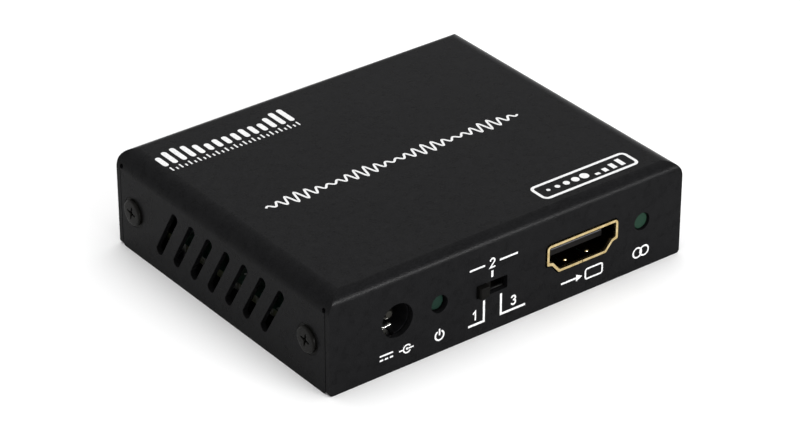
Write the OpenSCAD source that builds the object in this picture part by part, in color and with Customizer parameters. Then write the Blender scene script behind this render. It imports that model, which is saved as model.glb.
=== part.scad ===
// HDMI audio extractor: a folded sheet-metal box with a circuit board and its connectors.
// Millimetres. Origin at the centre of the underside, +X right along the front panel,
// -Y out of the front panel, +Y out of the rear panel, +Z up.

/* [Case] */
// Width of the case along the front panel
case_w = 72.6; // [70:0.1:90]
// Depth of the case from front panel to rear panel
case_d = 59.6; // [57:0.1:80]
// Height of the case
case_h = 17.9; // [17.6:0.1:26]
// Thickness of the folded cover sheet
sheet_t = 1.0; // [0.8:0.05:1.2]
// Outside radius of the bends along the left and right top edges
side_bend_r = 3.3; // [2:0.1:4]
// Outside radius of the bends along the front and rear top edges
end_bend_r = 1.95; // [1.5:0.05:2.5]
// Open slit between two neighbouring flaps of the cover
seam_gap = 0.15; // [0.1:0.05:0.3]
// Radius of the relief hole at the top of each slit
relief_r = 0.45; // [0.3:0.05:0.6]
// Distance of the relief hole below the top of the case
relief_drop = 2.6; // [2.2:0.1:3.2]
// Rounding of the flaps' free corners
flap_corner_r = 0.6; // [0.2:0.1:1.5]

/* [Vent slots] */
// Number of slots in each side flap
slot_count = 7; // [1:1:7]
// Distance from one slot to the next
slot_pitch = 4.96; // [3:0.02:5.1]
// Width of a slot
slot_w = 1.8; // [1:0.1:2.4]
// Height between the centres of a slot's two round ends
slot_rise = 8.1; // [3:0.1:9]
// Lean of a slot: how far its top is in front of its foot
slot_lean = 4.8; // [0:0.1:5]
// Height of the middle of the slots
slot_mid_z = 8.3; // [7:0.1:9]
// Distance of the middle slot behind the middle of the case
slot_shift = 0.3; // [-0.5:0.1:0.5]

/* [Base plate] */
// Thickness of the base plate
base_t = 1.0; // [0.8:0.05:1.2]
// Clearance between the base plate and the cover's flaps
base_gap = 0.15; // [0.1:0.05:0.3]
// Reach of an upturned tab past its screw, towards the middle of the case
tab_reach = 4.0; // [3.2:0.1:4.6]
// Height of an upturned tab
tab_h = 11.5; // [11:0.1:13]
// Outside radius of a tab's bend
tab_bend_r = 1.3; // [1.25:0.05:2]

/* [Side screws] */
// Radius of the screw's shank
side_screw_r = 1.45; // [1.2:0.05:1.5]
// Radius of the countersunk head
side_screw_head_r = 2.65; // [2.4:0.05:2.9]
// Length of the screw from its head's face
side_screw_l = 4.2; // [3:0.1:4.5]
// Height of the screws
side_screw_z = 8.0; // [7.6:0.1:8.4]
// Distance of the front screws behind the front panel
side_screw_front = 5.7; // [5.4:0.1:6]
// Distance of the rear screws in front of the rear panel
side_screw_rear = 4.8; // [4.6:0.1:5.4]

/* [Circuit board] */
// Thickness of the board
board_t = 1.6; // [1:0.1:1.8]
// Height of the standoffs under the board
standoff_h = 3.1; // [2.8:0.1:3.3]
// Gap between the board and the base plate's tabs
board_side_gap = 0.95; // [0.5:0.05:1.4]
// Gap between the board and the front and rear flaps
board_end_gap = 0.5; // [0.3:0.05:0.8]
// Distance of the board screws from the board's sides
board_screw_side = 3.0; // [2.8:0.1:3.1]
// Distance of the board screws from the board's ends
board_screw_end = 9.6; // [9:0.1:10]
// Radius of the board screws' shanks
board_screw_r = 1.2; // [1:0.05:1.4]
// Radius of the board screws' heads
board_screw_head_r = 2.3; // [2:0.1:2.6]

/* [Power socket] */
// Place of the power socket across the front
dc_x = -23.0; // [-23.5:0.1:-22.5]
// Radius of its hole in the front panel
dc_hole_r = 3.05; // [2.95:0.05:3.4]
// Radius of its bore
dc_bore_r = 2.9; // [2.8:0.05:3]
// Radius of its centre pin
dc_pin_r = 1.0; // [0.8:0.05:1.25]
// Height of its axis above the board
dc_axis_h = 3.45; // [3.2:0.05:4]
// Length of its body
dc_body_l = 12.5; // [11:0.1:13]

/* [Lamps] */
// Place of the power lamp across the front
power_led_x = -14.6; // [-15:0.1:-14]
// Place of the link lamp across the front
link_led_x = 27.7; // [27:0.1:28]
// Radius of the lamps' domes
led_r = 1.5; // [1.2:0.05:1.55]
// Clearance round a lamp in its panel hole
led_hole_gap = 0.12; // [0.05:0.01:0.3]
// Height of the lamps' axes above the board
led_axis_h = 3.3; // [2.5:0.1:4]
// Depth of the power lamp's tip behind the panel's face
power_led_depth = 0.95; // [0.2:0.05:1.2]
// Depth of the link lamp's tip behind the panel's face
link_led_depth = 0.45; // [0.2:0.05:1.2]

/* [Mode switch] */
// Place of the switch across the front
switch_x = -3.97; // [-4.3:0.01:-3.6]
// Distance between two neighbouring places of the knob
switch_step = 2.0; // [1.5:0.1:2.1]
// Width of the knob
knob_w = 2.1; // [1.5:0.1:2.2]
// Height of the knob
knob_h = 2.0; // [1.5:0.1:2.1]
// How far the knob stands out of the front panel
knob_proud = 0.9; // [0.5:0.1:1.5]
// Clearance round the knob in the panel's slot
knob_gap = 0.2; // [0.15:0.05:0.4]
// Width of the switch's metal frame
switch_w = 13; // [12.4:0.1:13.4]
// Height of the switch's metal frame
switch_h = 5.0; // [4.6:0.1:5.4]
// Depth of the switch's metal frame
switch_d = 5.2; // [4.8:0.1:6]

/* [HDMI ports] */
// Place of the HDMI input across the front
hdmi_in_x = 14.82; // [14:0.01:15.5]
// Place of the HDMI output across the rear
hdmi_out_x = -14.8; // [-15.5:0.1:-14]
// Width of the shell
hdmi_w = 15.0; // [14.9:0.01:15.1]
// Height of the shell
hdmi_h = 5.56; // [5.5:0.01:5.6]
// Thickness of the shell's sheet
hdmi_wall = 0.45; // [0.3:0.05:0.5]
// Height of the shell above the board
hdmi_lift = 0.29; // [0.1:0.01:0.5]
// Depth of the shell behind its mouth
hdmi_l = 11.3; // [10:0.1:12]
// How far the mouth stands out of the panel
hdmi_proud = 0.2; // [0:0.05:0.5]
// Clearance round the shell in the panel
hdmi_gap = 0.25; // [0.15:0.05:0.4]

/* [Optical port] */
// Place of the optical output across the rear
optical_x = 20.5; // [20:0.1:21]
// Width of the plug's opening
optical_open_w = 6.2; // [6:0.1:6.4]
// Height of the plug's opening
optical_open_h = 6.2; // [6:0.1:6.4]
// Depth of the plug's opening
optical_open_d = 8.8; // [8.6:0.1:9.2]
// Width of the housing
optical_w = 9.7; // [9.4:0.1:10]
// Height of the housing
optical_h = 10.0; // [9.8:0.1:10.2]
// Length of the housing
optical_l = 13.4; // [13:0.1:14]
// Radius of the shutter's hinge pin
shutter_pin_r = 0.35; // [0.25:0.05:0.4]

/* [Audio jack] */
// Place of the 3.5 mm jack across the rear
audio_x = 5.5; // [4.5:0.1:6.5]
// Radius of the plug's bore
audio_bore_r = 1.8; // [1.77:0.01:1.85]
// Outside radius of the ferrule
ferrule_r = 3.0; // [2.6:0.1:3.1]
// Clearance round the ferrule in the rear panel
ferrule_gap = 0.2; // [0.1:0.05:0.4]
// How far the ferrule stands out of the rear panel
ferrule_proud = 0.9; // [0.5:0.1:1.5]
// Width of the jack's body
audio_w = 8.0; // [7.6:0.1:9]
// Height of the jack's body
audio_h = 6.4; // [6.2:0.1:7]
// Length of the jack's body
audio_l = 12.6; // [12.2:0.1:13.5]

/* [Main chip and heat sink] */
// Side of the main chip
main_chip_side = 14; // [10:0.5:15]
// Height of the main chip
main_chip_h = 1.0; // [0.8:0.1:1.4]
// Side of the heat sink
sink_side = 16; // [12:0.5:17]
// Thickness of the heat sink's foot
sink_foot_t = 1.5; // [1:0.1:2]
// Height of the heat sink's fins
fin_h = 5; // [2:0.1:6]
// Number of fins
fin_count = 6; // [3:1:7]
// Thickness of a fin
fin_t = 0.8; // [0.5:0.1:1.2]

/* [Hidden] */
$fn = 48;

// Overrun that makes a cut pass a face
cut = 0.1;
// Clearance of one fixed piece in another
fit_gap = 0.05;
// Clearance of a lead or a lug in its hole in the board
hole_gap = 0.15;
// How far leads and lugs stand out below the board
lead_tail = 0.8;
// Gap between the front or rear flap and what stands behind it
panel_gap = 0.2;

// Heights and depths that follow
board_bottom = base_t + standoff_h;
board_top = board_bottom + board_t;
base_relief = 0.4;
tab_end = 0.4;
base_w = case_w - 2 * (sheet_t + base_gap);
base_d = case_d - 2 * (sheet_t + base_gap);
board_w = base_w - 2 * (base_t + board_side_gap);
board_d = case_d - 2 * (sheet_t + board_end_gap);
back_of_panel = sheet_t + panel_gap;

// Side screws: the head's cone goes on below the sheet, down to the shank
countersink_gap = 0.1;
side_screw_head_h = side_screw_head_r - side_screw_r;
side_screw_recess = 0.05;
recess_share = 0.62;
recess_floor_share = 0.35;
recess_blade = 0.7;
recess_turn = 20;
side_screw_places = [side_screw_front - case_d / 2, case_d / 2 - side_screw_rear];

// Board screws
board_screw_head_h = 1.5;
board_screw_crown_r = 1.7;
board_screw_recess_l = 1.0;
board_screw_below = 2.4;
standoff_r = 2.6;
standoff_neck_r = 1.9;
board_screw_x = board_w / 2 - board_screw_side;
board_screw_y = board_d / 2 - board_screw_end;

// Power socket, seen from its panel: depth runs inwards from the panel's face
dc_z = board_top + dc_axis_h;
dc_body_w = 9.0;
dc_body_h = 8.0;
dc_bore_l = 9.8;
dc_pin_back = 1.0;
dc_pin_tip_r = 0.4;
dc_shank_r = 0.8;
dc_ledge_w = 1.6;
dc_ledge_h = 1.0;
dc_ledge_l = 4.5;
dc_notch_gap = 0.3;
dc_lug_t = 0.4;
dc_lug_w = 1.6;
dc_spring_w = 2.2;
dc_spring_t = 0.25;
dc_spring_l = 8.6;
dc_spring_bow = 0.75;
dc_spring_peak_share = 0.8;
dc_spring_angle = 250;
dc_channel_h = 0.7;
dc_spring_start = 0.5;
dc_ledge_start = 2.5;
dc_lug_y = back_of_panel + dc_body_l + dc_notch_gap + dc_lug_t;

// Lamps
led_z = board_top + led_axis_h;
led_body_l = 3.6;
led_rim = 0.15;
led_flange_r = 1.9;
led_flange_l = 1.0;
led_lead_t = 0.5;
led_lead_pitch = 2.54;
led_lead_reach = 0.8;

// Depth of a lamp's wires where they go down
function led_lead_y(depth) = depth + led_r + led_body_l + led_lead_reach + led_lead_t / 2;

// Mode switch
switch_z = board_top + switch_h / 2;
switch_wall = 0.4;
knob_start_x = switch_x - switch_step;
carriage_w = 6.4;
carriage_d = 2.0;
carriage_gap = 0.15;
knob_edge = 0.25;
switch_base_t = 1.0;
switch_terminal_t = 0.3;
switch_terminal_w = 0.8;
switch_terminal_pitch = 2.5;
switch_terminal_count = 4;
switch_terminal_reach = 0.5;
wiper_w = 3.6;
wiper_t = 0.2;
switch_lug_w = 1.2;
switch_lug_x = (switch_w - switch_wall) / 2;
switch_terminal_y = back_of_panel + switch_d + switch_terminal_reach;
carriage_y = back_of_panel + switch_wall + carriage_gap;
wiper_gap = 0.25;

// Place of a terminal across the switch
function switch_terminal_x(i) = (i - (switch_terminal_count - 1) / 2) * switch_terminal_pitch;

// HDMI ports
hdmi_z = board_top + hdmi_lift + hdmi_h / 2;
hdmi_side_h = 3.65;
hdmi_shoulder_w = 12.9;
hdmi_shoulder_drop = 0.22;
hdmi_floor_w = 10.05;
hdmi_corner_r = 0.75;
hdmi_small_r = 0.3;
hdmi_seam = 0.12;
hdmi_finger_start = 0.9;
hdmi_finger_l = 3.4;
hdmi_finger_w = 1.5;
hdmi_finger_t = 0.25;
hdmi_finger_bow = 0.45;
hdmi_finger_gap = 0.2;
hdmi_finger_offset = 2.35;
hdmi_upper_finger_offset = 4.0;
hdmi_finger_peak_share = 0.7;
hdmi_leg_w = 1.6;
hdmi_leg_places = [3.2, 8.7];
tongue_w = 11.0;
tongue_t = 1.2;
tongue_lift = 0.15;
tongue_back = 1.6;
tongue_block_l = 4.0;
contact_w = 0.3;
contact_t = 0.12;
contact_pitch = 1.0;
contact_start = 0.6;
contact_foot_l = 0.8;
contact_gap = 0.03;
contact_riser = 0.3;
tongue_z = hdmi_z + tongue_lift;
upper_contacts = 10;
lower_contacts = 9;

// Optical port
optical_nose_w = 9.0;
optical_nose_h = 8.8;
optical_nose_lift = 0.6;
optical_nose_gap = 0.2;
optical_floor_t = 1.2;
optical_bevel = 1.0;
shutter_axis_lift = 0.5;
shutter_axis_depth = 1.5;
shutter_t = 0.6;
shutter_gap = 0.15;
shutter_knuckle_r = 0.75;
shutter_knuckle_w = 1.8;
shutter_running_gap = 0.04;
shutter_pin_l = 7.8;
shutter_ceiling = 1.1;
shutter_lip = 0.6;
spring_wire_r = 0.11;
spring_coil_r = 0.55;
spring_turns = 4;
spring_coil_w = 1.5;
spring_leg_l = 3.0;
ferrule_hole_r = 1.3;
emitter_w = 4.4;
emitter_h = 5.0;
emitter_d = 1.8;
emitter_lens_r = 0.9;
optical_lead_w = 0.5;
optical_lead_t = 0.3;
optical_lead_pitch = 1.27;
optical_lead_reach = 0.6;
emitter_lens_l = 0.5;
optical_floor_z = board_top + optical_floor_t;
optical_axis_z = optical_floor_z + optical_open_h / 2;
optical_nose_z = board_top + optical_nose_lift + optical_nose_h / 2;
optical_lead_y = optical_l + optical_lead_reach;
shutter_z = optical_floor_z + optical_open_h + shutter_axis_lift;

// Audio jack
audio_axis_h = 3.3;
audio_z = board_top + audio_axis_h;
ferrule_neck_r = 2.4;
ferrule_neck_l = 1.6;
audio_inner_gap = 0.2;
audio_inner_r = audio_bore_r + audio_inner_gap;
audio_bore_l = 12.0;
audio_leaf_w = 1.2;
audio_leaf_t = 0.2;
audio_leaf_l = 2.6;
audio_leaf_bow = 0.4;
audio_leaf_places = [4.2, 7.4, 10.4];
audio_leaf_sides = [1, -1, 1];
audio_lug_t = 0.4;
audio_leaf_back = 0.35;
audio_lug_gap = 0.1;
audio_lug_x = audio_w / 2 + audio_lug_gap + audio_lug_t / 2;

// Parts on the board, by their places across and along
main_chip_at = [-1, 0.5];
sink_gap = 0.3;
audio_chip_at = [5.5, 12.5];
audio_chip_size = [5.0, 4.4, 1.1];
audio_chip_pins = 6;
control_chip_at = [15, -12];
control_chip_size = [7.0, 7.0, 1.0];
control_chip_pins = 8;
regulator_at = [-23, -9.5];
regulator_size = [6.5, 3.5, 1.7];
regulator_pins = 3;
regulator_pin_pitch = 2.0;
inductor_at = [-24, 0];
inductor_size = [6.2, 6.2, 3.0];
inductor_corner_r = 0.9;
crystal_at = [15.5, 0];
crystal_size = [4.8, 11.4, 3.4];
capacitor_r = 2.5;
capacitor_h = 5.4;
capacitor_foot_h = 0.7;
capacitor_foot_gap = 0.2;
capacitor_places = [[-16.5, -13], [-24, 8.5], [-14.5, 11.5]];
chip_part_size = [1.6, 0.8, 0.6];
chip_part_pitch = 2.0;
chip_part_rows = [[-13.5, -5], [24, -6], [24, 6]];
chip_part_count = 5;
pin_w = 0.3;
pin_t = 0.15;
pin_knee = 0.5;
pin_reach = 1.0;
pin_pitch = 0.8;

// Helpers

// Unit vector along v
function unit(v) = v / norm(v);

// Points of an arc of radius r that rounds the corner p between its neighbours a and b
function arc_corner(p, a, b, r, steps = 5) =
    let (
        u = unit(a - p),
        v = unit(b - p),
        half = acos(u * v) / 2,
        centre = p + unit(u + v) * r / sin(half),
        first = p + u * r / tan(half) - centre,
        last = p + v * r / tan(half) - centre,
        a0 = atan2(first[1], first[0]),
        turn = (atan2(last[1], last[0]) - a0 + 540) % 360 - 180
    )
    [for (i = [0 : steps]) centre + r * [cos(a0 + turn * i / steps), sin(a0 + turn * i / steps)]];

// Outline with each corner rounded by its own radius
function rounded_outline(points, radii) =
    let (n = len(points))
    [for (i = [0 : n - 1])
        each arc_corner(points[i], points[(i + n - 1) % n], points[(i + 1) % n], radii[i])];

// Box on its centre in X and Y, standing on a height
module block(size, at) {
    translate([at[0] - size[0] / 2, at[1] - size[1] / 2, at[2]]) cube(size);
}

// Rectangle whose two upper corners are round
module round_topped(w, h, r) {
    translate([-w / 2, 0]) square([w, h - r]);
    translate([r - w / 2, 0]) square([w - 2 * r, h]);
    for (side = [-1, 1]) translate([side * (w / 2 - r), h - r]) circle(r);
}

// Puts its children in a port's own frame: depth along +Y from the panel's outer face
module at_front(x) {
    translate([x, -case_d / 2, 0]) children();
}

module at_rear(x) {
    translate([x, case_d / 2, 0]) rotate([0, 0, 180]) children();
}

// Stretches an outline from one depth to another in a port's frame
module port_prism(from, to, z = 0) {
    translate([0, to, z]) rotate([90, 0, 0]) linear_extrude(to - from) children();
}

// Hole through a panel, in a port's frame
module panel_hole(z) {
    port_prism(-cut, sheet_t + cut, z) children();
}

// Leaf that bows by a height; its length is along X and its bow along Y
module bowed_leaf(l, bow, t, w, peak_share = 1, steps = 8) {
    lower = [for (i = [0 : steps]) [l * i / steps, bow * sin(180 * pow(i / steps, peak_share))]];
    upper = [for (i = [steps : -1 : 0]) [lower[i][0], lower[i][1] + t]];
    linear_extrude(w, center = true) polygon(concat(lower, upper));
}

// Cross recess of a screw, cut down from z = 0
module cross_recess(r, depth, blade) {
    intersection() {
        translate([0, 0, -depth]) cylinder(h = depth + cut, r1 = r * recess_floor_share, r2 = r);
        union() {
            translate([-r, -blade / 2, -depth]) cube([2 * r, blade, depth + cut]);
            translate([-blade / 2, -r, -depth]) cube([blade, 2 * r, depth + cut]);
        }
    }
}

// Mirrors its children to both sides
module both_sides() {
    children();
    mirror([1, 0, 0]) children();
}

// Case

// Solid with the outside form of a folded box: two bent outlines crossed
module bent_block(w, d, h, side_r, end_r) {
    intersection() {
        rotate([90, 0, 0]) linear_extrude(d, center = true) round_topped(w, h, side_r);
        rotate([90, 0, 90]) linear_extrude(w, center = true) round_topped(d, h, end_r);
    }
}

module vent_slot() {
    lean = atan2(slot_lean, slot_rise);
    length = norm([slot_lean, slot_rise]);
    rotate(lean) {
        square([slot_w, length], center = true);
        for (end = [-1, 1]) translate([0, end * length / 2]) circle(slot_w / 2);
    }
}

// Slots, screw holes, slits and rounded corners of the right-hand flap
module side_flap_cuts() {
    first_y = slot_shift - slot_pitch * (slot_count - 1) / 2;
    for (i = [0 : slot_count - 1])
        translate([case_w / 2 - sheet_t - cut, first_y + i * slot_pitch, slot_mid_z])
            rotate([90, 0, 90]) linear_extrude(sheet_t + 2 * cut) vent_slot();
    for (y = side_screw_places)
        translate([case_w / 2, y, side_screw_z]) rotate([0, 90, 0]) screw_way();
    for (end = [-1, 1]) {
        slit_y = end * (case_d / 2 - sheet_t - seam_gap / 2);
        relief_y = end * (case_d / 2 - sheet_t - relief_r);
        translate([case_w / 2 - sheet_t - cut, slit_y - seam_gap / 2, -cut])
            cube([sheet_t + 2 * cut, seam_gap, case_h - relief_drop + cut]);
        translate([case_w / 2 - side_bend_r / 2, relief_y, case_h - relief_drop])
            rotate([0, 90, 0]) cylinder(h = side_bend_r, r = relief_r);
        translate([case_w / 2 - sheet_t - cut, end * (case_d / 2 - sheet_t - seam_gap), 0])
            rotate([90, 0, 90]) linear_extrude(sheet_t + 2 * cut) corner_waste(end);
        translate([case_w / 2, end * (case_d / 2 - sheet_t / 2) + sheet_t / 2 + cut, 0])
            rotate([90, 0, 0]) linear_extrude(sheet_t + 2 * cut) corner_waste(1);
    }
}

// What a rounding takes off a corner that points to +X and down
module corner_waste(side) {
    difference() {
        translate([side > 0 ? -flap_corner_r : -cut, -cut])
            square([flap_corner_r + cut, flap_corner_r + cut]);
        translate([-side * flap_corner_r, flap_corner_r]) circle(flap_corner_r);
    }
}

module front_openings() {
    at_front(dc_x) panel_hole(dc_z) circle(dc_hole_r);
    at_front(power_led_x) panel_hole(led_z) circle(led_r + led_hole_gap);
    at_front(link_led_x) panel_hole(led_z) circle(led_r + led_hole_gap);
    at_front(switch_x) panel_hole(switch_z)
        square([knob_w + 2 * (switch_step + knob_gap / 2), knob_h + 2 * knob_gap], center = true);
    at_front(hdmi_in_x) panel_hole(hdmi_z) polygon(hdmi_outline(-hdmi_gap));
}

module rear_openings() {
    at_rear(hdmi_out_x) panel_hole(hdmi_z) polygon(hdmi_outline(-hdmi_gap));
    at_rear(optical_x) panel_hole(optical_nose_z)
        square([optical_nose_w + 2 * optical_nose_gap, optical_nose_h + 2 * optical_nose_gap],
               center = true);
    at_rear(audio_x) panel_hole(audio_z) circle(ferrule_r + ferrule_gap);
}

module top_cover() {
    color("#1b1b1c") difference() {
        bent_block(case_w, case_d, case_h, side_bend_r, end_bend_r);
        translate([0, 0, -cut])
            bent_block(case_w - 2 * sheet_t, case_d - 2 * sheet_t, case_h - sheet_t + cut,
                       side_bend_r - sheet_t, end_bend_r - sheet_t);
        both_sides() side_flap_cuts();
        front_openings();
        rear_openings();
    }
}

// Upturned tab at one side: a strip of the base's bent outline
module tab_outline() {
    w = base_w;
    difference() {
        union() {
            translate([w / 2 - base_t, tab_bend_r]) square([base_t, tab_h - tab_bend_r]);
            translate([w / 2 - tab_bend_r - cut, 0]) square([cut, base_t]);
            intersection() {
                translate([w / 2 - tab_bend_r, tab_bend_r]) circle(tab_bend_r);
                translate([w / 2 - tab_bend_r, 0]) square([tab_bend_r, tab_bend_r]);
            }
        }
        translate([w / 2 - tab_bend_r, tab_bend_r]) circle(tab_bend_r - base_t);
    }
}

// Stretches an outline along the tab that holds the screw at y, with room at each end
module tab_strip(y, room) {
    inner = abs(y) - tab_reach - room;
    outer = base_d / 2 - tab_end + room;
    translate([0, sign(y) * (inner + outer) / 2, 0]) rotate([90, 0, 0])
        linear_extrude(outer - inner, center = true) children();
}

module base_plate() {
    color("#232324") difference() {
        union() {
            difference() {
                block([base_w, base_d, base_t], [0, 0, 0]);
                both_sides() for (y = side_screw_places) tab_strip(y, base_relief)
                    translate([base_w / 2 - tab_bend_r, -cut])
                        square([tab_bend_r + cut, base_t + 2 * cut]);
            }
            both_sides() for (y = side_screw_places) tab_strip(y, 0) tab_outline();
        }
        both_sides() for (y = side_screw_places)
            translate([case_w / 2, y, side_screw_z]) rotate([0, 90, 0]) screw_way();
        board_screw_places() translate([0, 0, -cut])
            cylinder(h = base_t + 2 * cut, r = standoff_neck_r + fit_gap);
    }
}

// Room for a side screw: its cone and its threaded hole, along -Z from the outer face
module screw_way() {
    mouth_r = side_screw_head_r + countersink_gap;
    hole_r = side_screw_r + fit_gap;
    cone_h = mouth_r - hole_r;
    translate([0, 0, -cone_h]) cylinder(h = cone_h + cut, r1 = hole_r, r2 = mouth_r + cut);
    translate([0, 0, -side_screw_l - cut]) cylinder(h = side_screw_l, r = hole_r);
}

module side_screws() {
    color("#3a3a3c") both_sides() for (y = side_screw_places)
        translate([case_w / 2 - side_screw_recess, y, side_screw_z]) rotate([0, 90, 0])
            difference() {
                union() {
                    translate([0, 0, -side_screw_head_h])
                        cylinder(h = side_screw_head_h, r1 = side_screw_r, r2 = side_screw_head_r);
                    translate([0, 0, -side_screw_l]) cylinder(h = side_screw_l, r = side_screw_r);
                }
                rotate(recess_turn)
                    cross_recess(side_screw_head_r * recess_share, side_screw_head_h, recess_blade);
            }
}

// Puts its children at the four corners where the board is screwed down
module board_screw_places() {
    for (x = [-1, 1]) for (y = [-1, 1])
        translate([x * board_screw_x, y * board_screw_y, 0]) children();
}

module board_standoffs() {
    color("#b9b6aa") board_screw_places() difference() {
        union() {
            translate([0, 0, base_t]) cylinder(h = standoff_h, r = standoff_r, $fn = 6);
            translate([0, 0, fit_gap]) cylinder(h = base_t, r = standoff_neck_r);
        }
        translate([0, 0, base_t]) cylinder(h = standoff_h + cut, r = board_screw_r + fit_gap);
    }
}

module board_screws() {
    color("#c4c2bb") board_screw_places() translate([0, 0, board_top]) difference() {
        union() {
            cylinder(h = board_screw_head_h / 2, r = board_screw_head_r);
            translate([0, 0, board_screw_head_h / 2])
                cylinder(h = board_screw_head_h / 2, r1 = board_screw_head_r, r2 = board_screw_crown_r);
            translate([0, 0, -board_t - board_screw_below])
                cylinder(h = board_t + board_screw_below + cut, r = board_screw_r);
        }
        translate([0, 0, board_screw_head_h])
            cross_recess(board_screw_head_r * recess_share, board_screw_recess_l, recess_blade);
    }
}

// Circuit board

// Round hole and slot through the board, in a frame that stands on z = 0
module board_hole(x, y, r) {
    translate([x, y, board_bottom - cut]) cylinder(h = board_t + 2 * cut, r = r);
}

module board_slot(x, y, w, d) {
    block([w + 2 * hole_gap, d + 2 * hole_gap, board_t + 2 * cut], [x, y, board_bottom - cut]);
}

module led_holes(depth) {
    for (side = [-1, 1])
        board_hole(side * led_lead_pitch / 2, led_lead_y(depth), led_lead_t / sqrt(2) + hole_gap);
}

module hdmi_slots() {
    both_sides() for (y = hdmi_leg_places)
        board_slot(hdmi_w / 2 - hdmi_wall / 2, y, hdmi_wall, hdmi_leg_w);
}

module circuit_board() {
    color("#1f4a2c") difference() {
        block([board_w, board_d, board_t], [0, 0, board_bottom]);
        board_screw_places() translate([0, 0, board_bottom - cut])
            cylinder(h = board_t + 2 * cut, r = board_screw_r + fit_gap);
        at_front(dc_x) {
            notch_l = back_of_panel + dc_body_l + dc_notch_gap;
            block([dc_body_w + 2 * dc_notch_gap, 2 * notch_l, board_t + 2 * cut],
                  [0, 0, board_bottom - cut]);
            board_slot(0, dc_lug_y, dc_lug_w, dc_lug_t);
        }
        at_front(power_led_x) led_holes(power_led_depth);
        at_front(link_led_x) led_holes(link_led_depth);
        at_front(switch_x) {
            for (i = [0 : switch_terminal_count - 1])
                board_slot(switch_terminal_x(i), switch_terminal_y, switch_terminal_w, switch_terminal_t);
            both_sides() board_slot(switch_lug_x, back_of_panel + switch_d / 2, switch_wall, switch_lug_w);
        }
        at_front(hdmi_in_x) hdmi_slots();
        at_rear(hdmi_out_x) hdmi_slots();
        at_rear(optical_x) for (i = [-1 : 1])
            board_slot(i * optical_lead_pitch, optical_lead_y, optical_lead_w, optical_lead_t);
        at_rear(audio_x) for (i = [0 : len(audio_leaf_places) - 1])
            board_slot(audio_leaf_sides[i] * audio_lug_x, audio_leaf_places[i], audio_lug_t, audio_leaf_w);
    }
}

// Power socket

module dc_jack_body() {
    color("#151516") at_front(dc_x) difference() {
        union() {
            port_prism(back_of_panel, back_of_panel + dc_body_l, dc_z)
                square([dc_body_w, dc_body_h], center = true);
            both_sides() translate([dc_body_w / 2 - cut, back_of_panel + dc_ledge_start, board_top])
                cube([dc_ledge_w + cut, dc_ledge_l, dc_ledge_h]);
        }
        port_prism(back_of_panel - cut, back_of_panel + dc_bore_l, dc_z) circle(dc_bore_r);
        port_prism(back_of_panel, back_of_panel + dc_body_l + cut, dc_z) circle(dc_shank_r + fit_gap);
        translate([0, back_of_panel - cut, dc_z]) rotate([0, -dc_spring_angle, 0])
            translate([dc_bore_r / 2, 0, -dc_spring_w / 2 - fit_gap])
                cube([dc_bore_r / 2 + dc_channel_h, dc_bore_l + cut, dc_spring_w + 2 * fit_gap]);
    }
}

module dc_jack_pin() {
    start = back_of_panel + dc_pin_back;
    foot = board_bottom - lead_tail;
    color("#d8d2bc") at_front(dc_x) {
        port_prism(start + dc_pin_tip_r, back_of_panel + dc_bore_l, dc_z) circle(dc_pin_r);
        port_prism(start + dc_pin_tip_r, dc_lug_y, dc_z) circle(dc_shank_r);
        translate([0, start, dc_z]) rotate([-90, 0, 0])
            cylinder(h = dc_pin_tip_r, r1 = dc_pin_r - dc_pin_tip_r, r2 = dc_pin_r);
        block([dc_lug_w, dc_lug_t, dc_z + dc_shank_r - foot], [0, dc_lug_y, foot]);
    }
}

module dc_jack_spring() {
    color("#e2e0d6") at_front(dc_x)
        translate([0, back_of_panel + dc_spring_start, dc_z]) rotate([0, -dc_spring_angle, 0])
            translate([dc_bore_r + dc_channel_h - fit_gap, 0, 0]) rotate([0, 0, 90])
                bowed_leaf(dc_spring_l, dc_spring_bow, dc_spring_t, dc_spring_w, dc_spring_peak_share);
}

// Lamps

module lamp(depth) {
    back = depth + led_r + led_body_l;
    port_prism(depth + led_rim, back, led_z) circle(led_r);
    translate([0, depth, led_z]) rotate([-90, 0, 0]) cylinder(h = led_rim, r1 = led_r - led_rim, r2 = led_r);
    port_prism(back - led_flange_l, back, led_z) circle(led_flange_r);
}

module power_led() {
    color("#1d4d2e") at_front(power_led_x) lamp(power_led_depth);
}

module link_led() {
    color("#1d4d2e") at_front(link_led_x) lamp(link_led_depth);
}

// Two bent wires from a lamp's back down through the board
module lamp_wires(depth) {
    start = depth + led_r + led_body_l;
    foot = board_bottom - lead_tail;
    for (side = [-1, 1]) {
        translate([side * led_lead_pitch / 2 - led_lead_t / 2, start, led_z - led_lead_t / 2])
            cube([led_lead_t, led_lead_reach + led_lead_t, led_lead_t]);
        block([led_lead_t, led_lead_t, led_z + led_lead_t / 2 - foot],
              [side * led_lead_pitch / 2, led_lead_y(depth), foot]);
    }
}

module lamp_leads() {
    color("#c9c7c0") {
        at_front(power_led_x) lamp_wires(power_led_depth);
        at_front(link_led_x) lamp_wires(link_led_depth);
    }
}

// Mode switch

module switch_frame() {
    inner_w = switch_w - 2 * switch_wall;
    inner_h = switch_h - 2 * switch_wall;
    color("#b8b8b6") at_front(switch_x) difference() {
        union() {
            port_prism(back_of_panel, back_of_panel + switch_d, switch_z)
                square([switch_w, switch_h], center = true);
            both_sides() block([switch_wall, switch_lug_w, board_t + lead_tail + cut],
                               [switch_lug_x, back_of_panel + switch_d / 2, board_bottom - lead_tail]);
        }
        port_prism(back_of_panel + switch_wall, back_of_panel + switch_d + cut, switch_z)
            square([inner_w, inner_h], center = true);
        port_prism(back_of_panel - cut, back_of_panel + switch_wall + cut, switch_z)
            square([knob_w + 2 * (switch_step + carriage_gap), knob_h + 2 * carriage_gap], center = true);
    }
}

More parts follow.
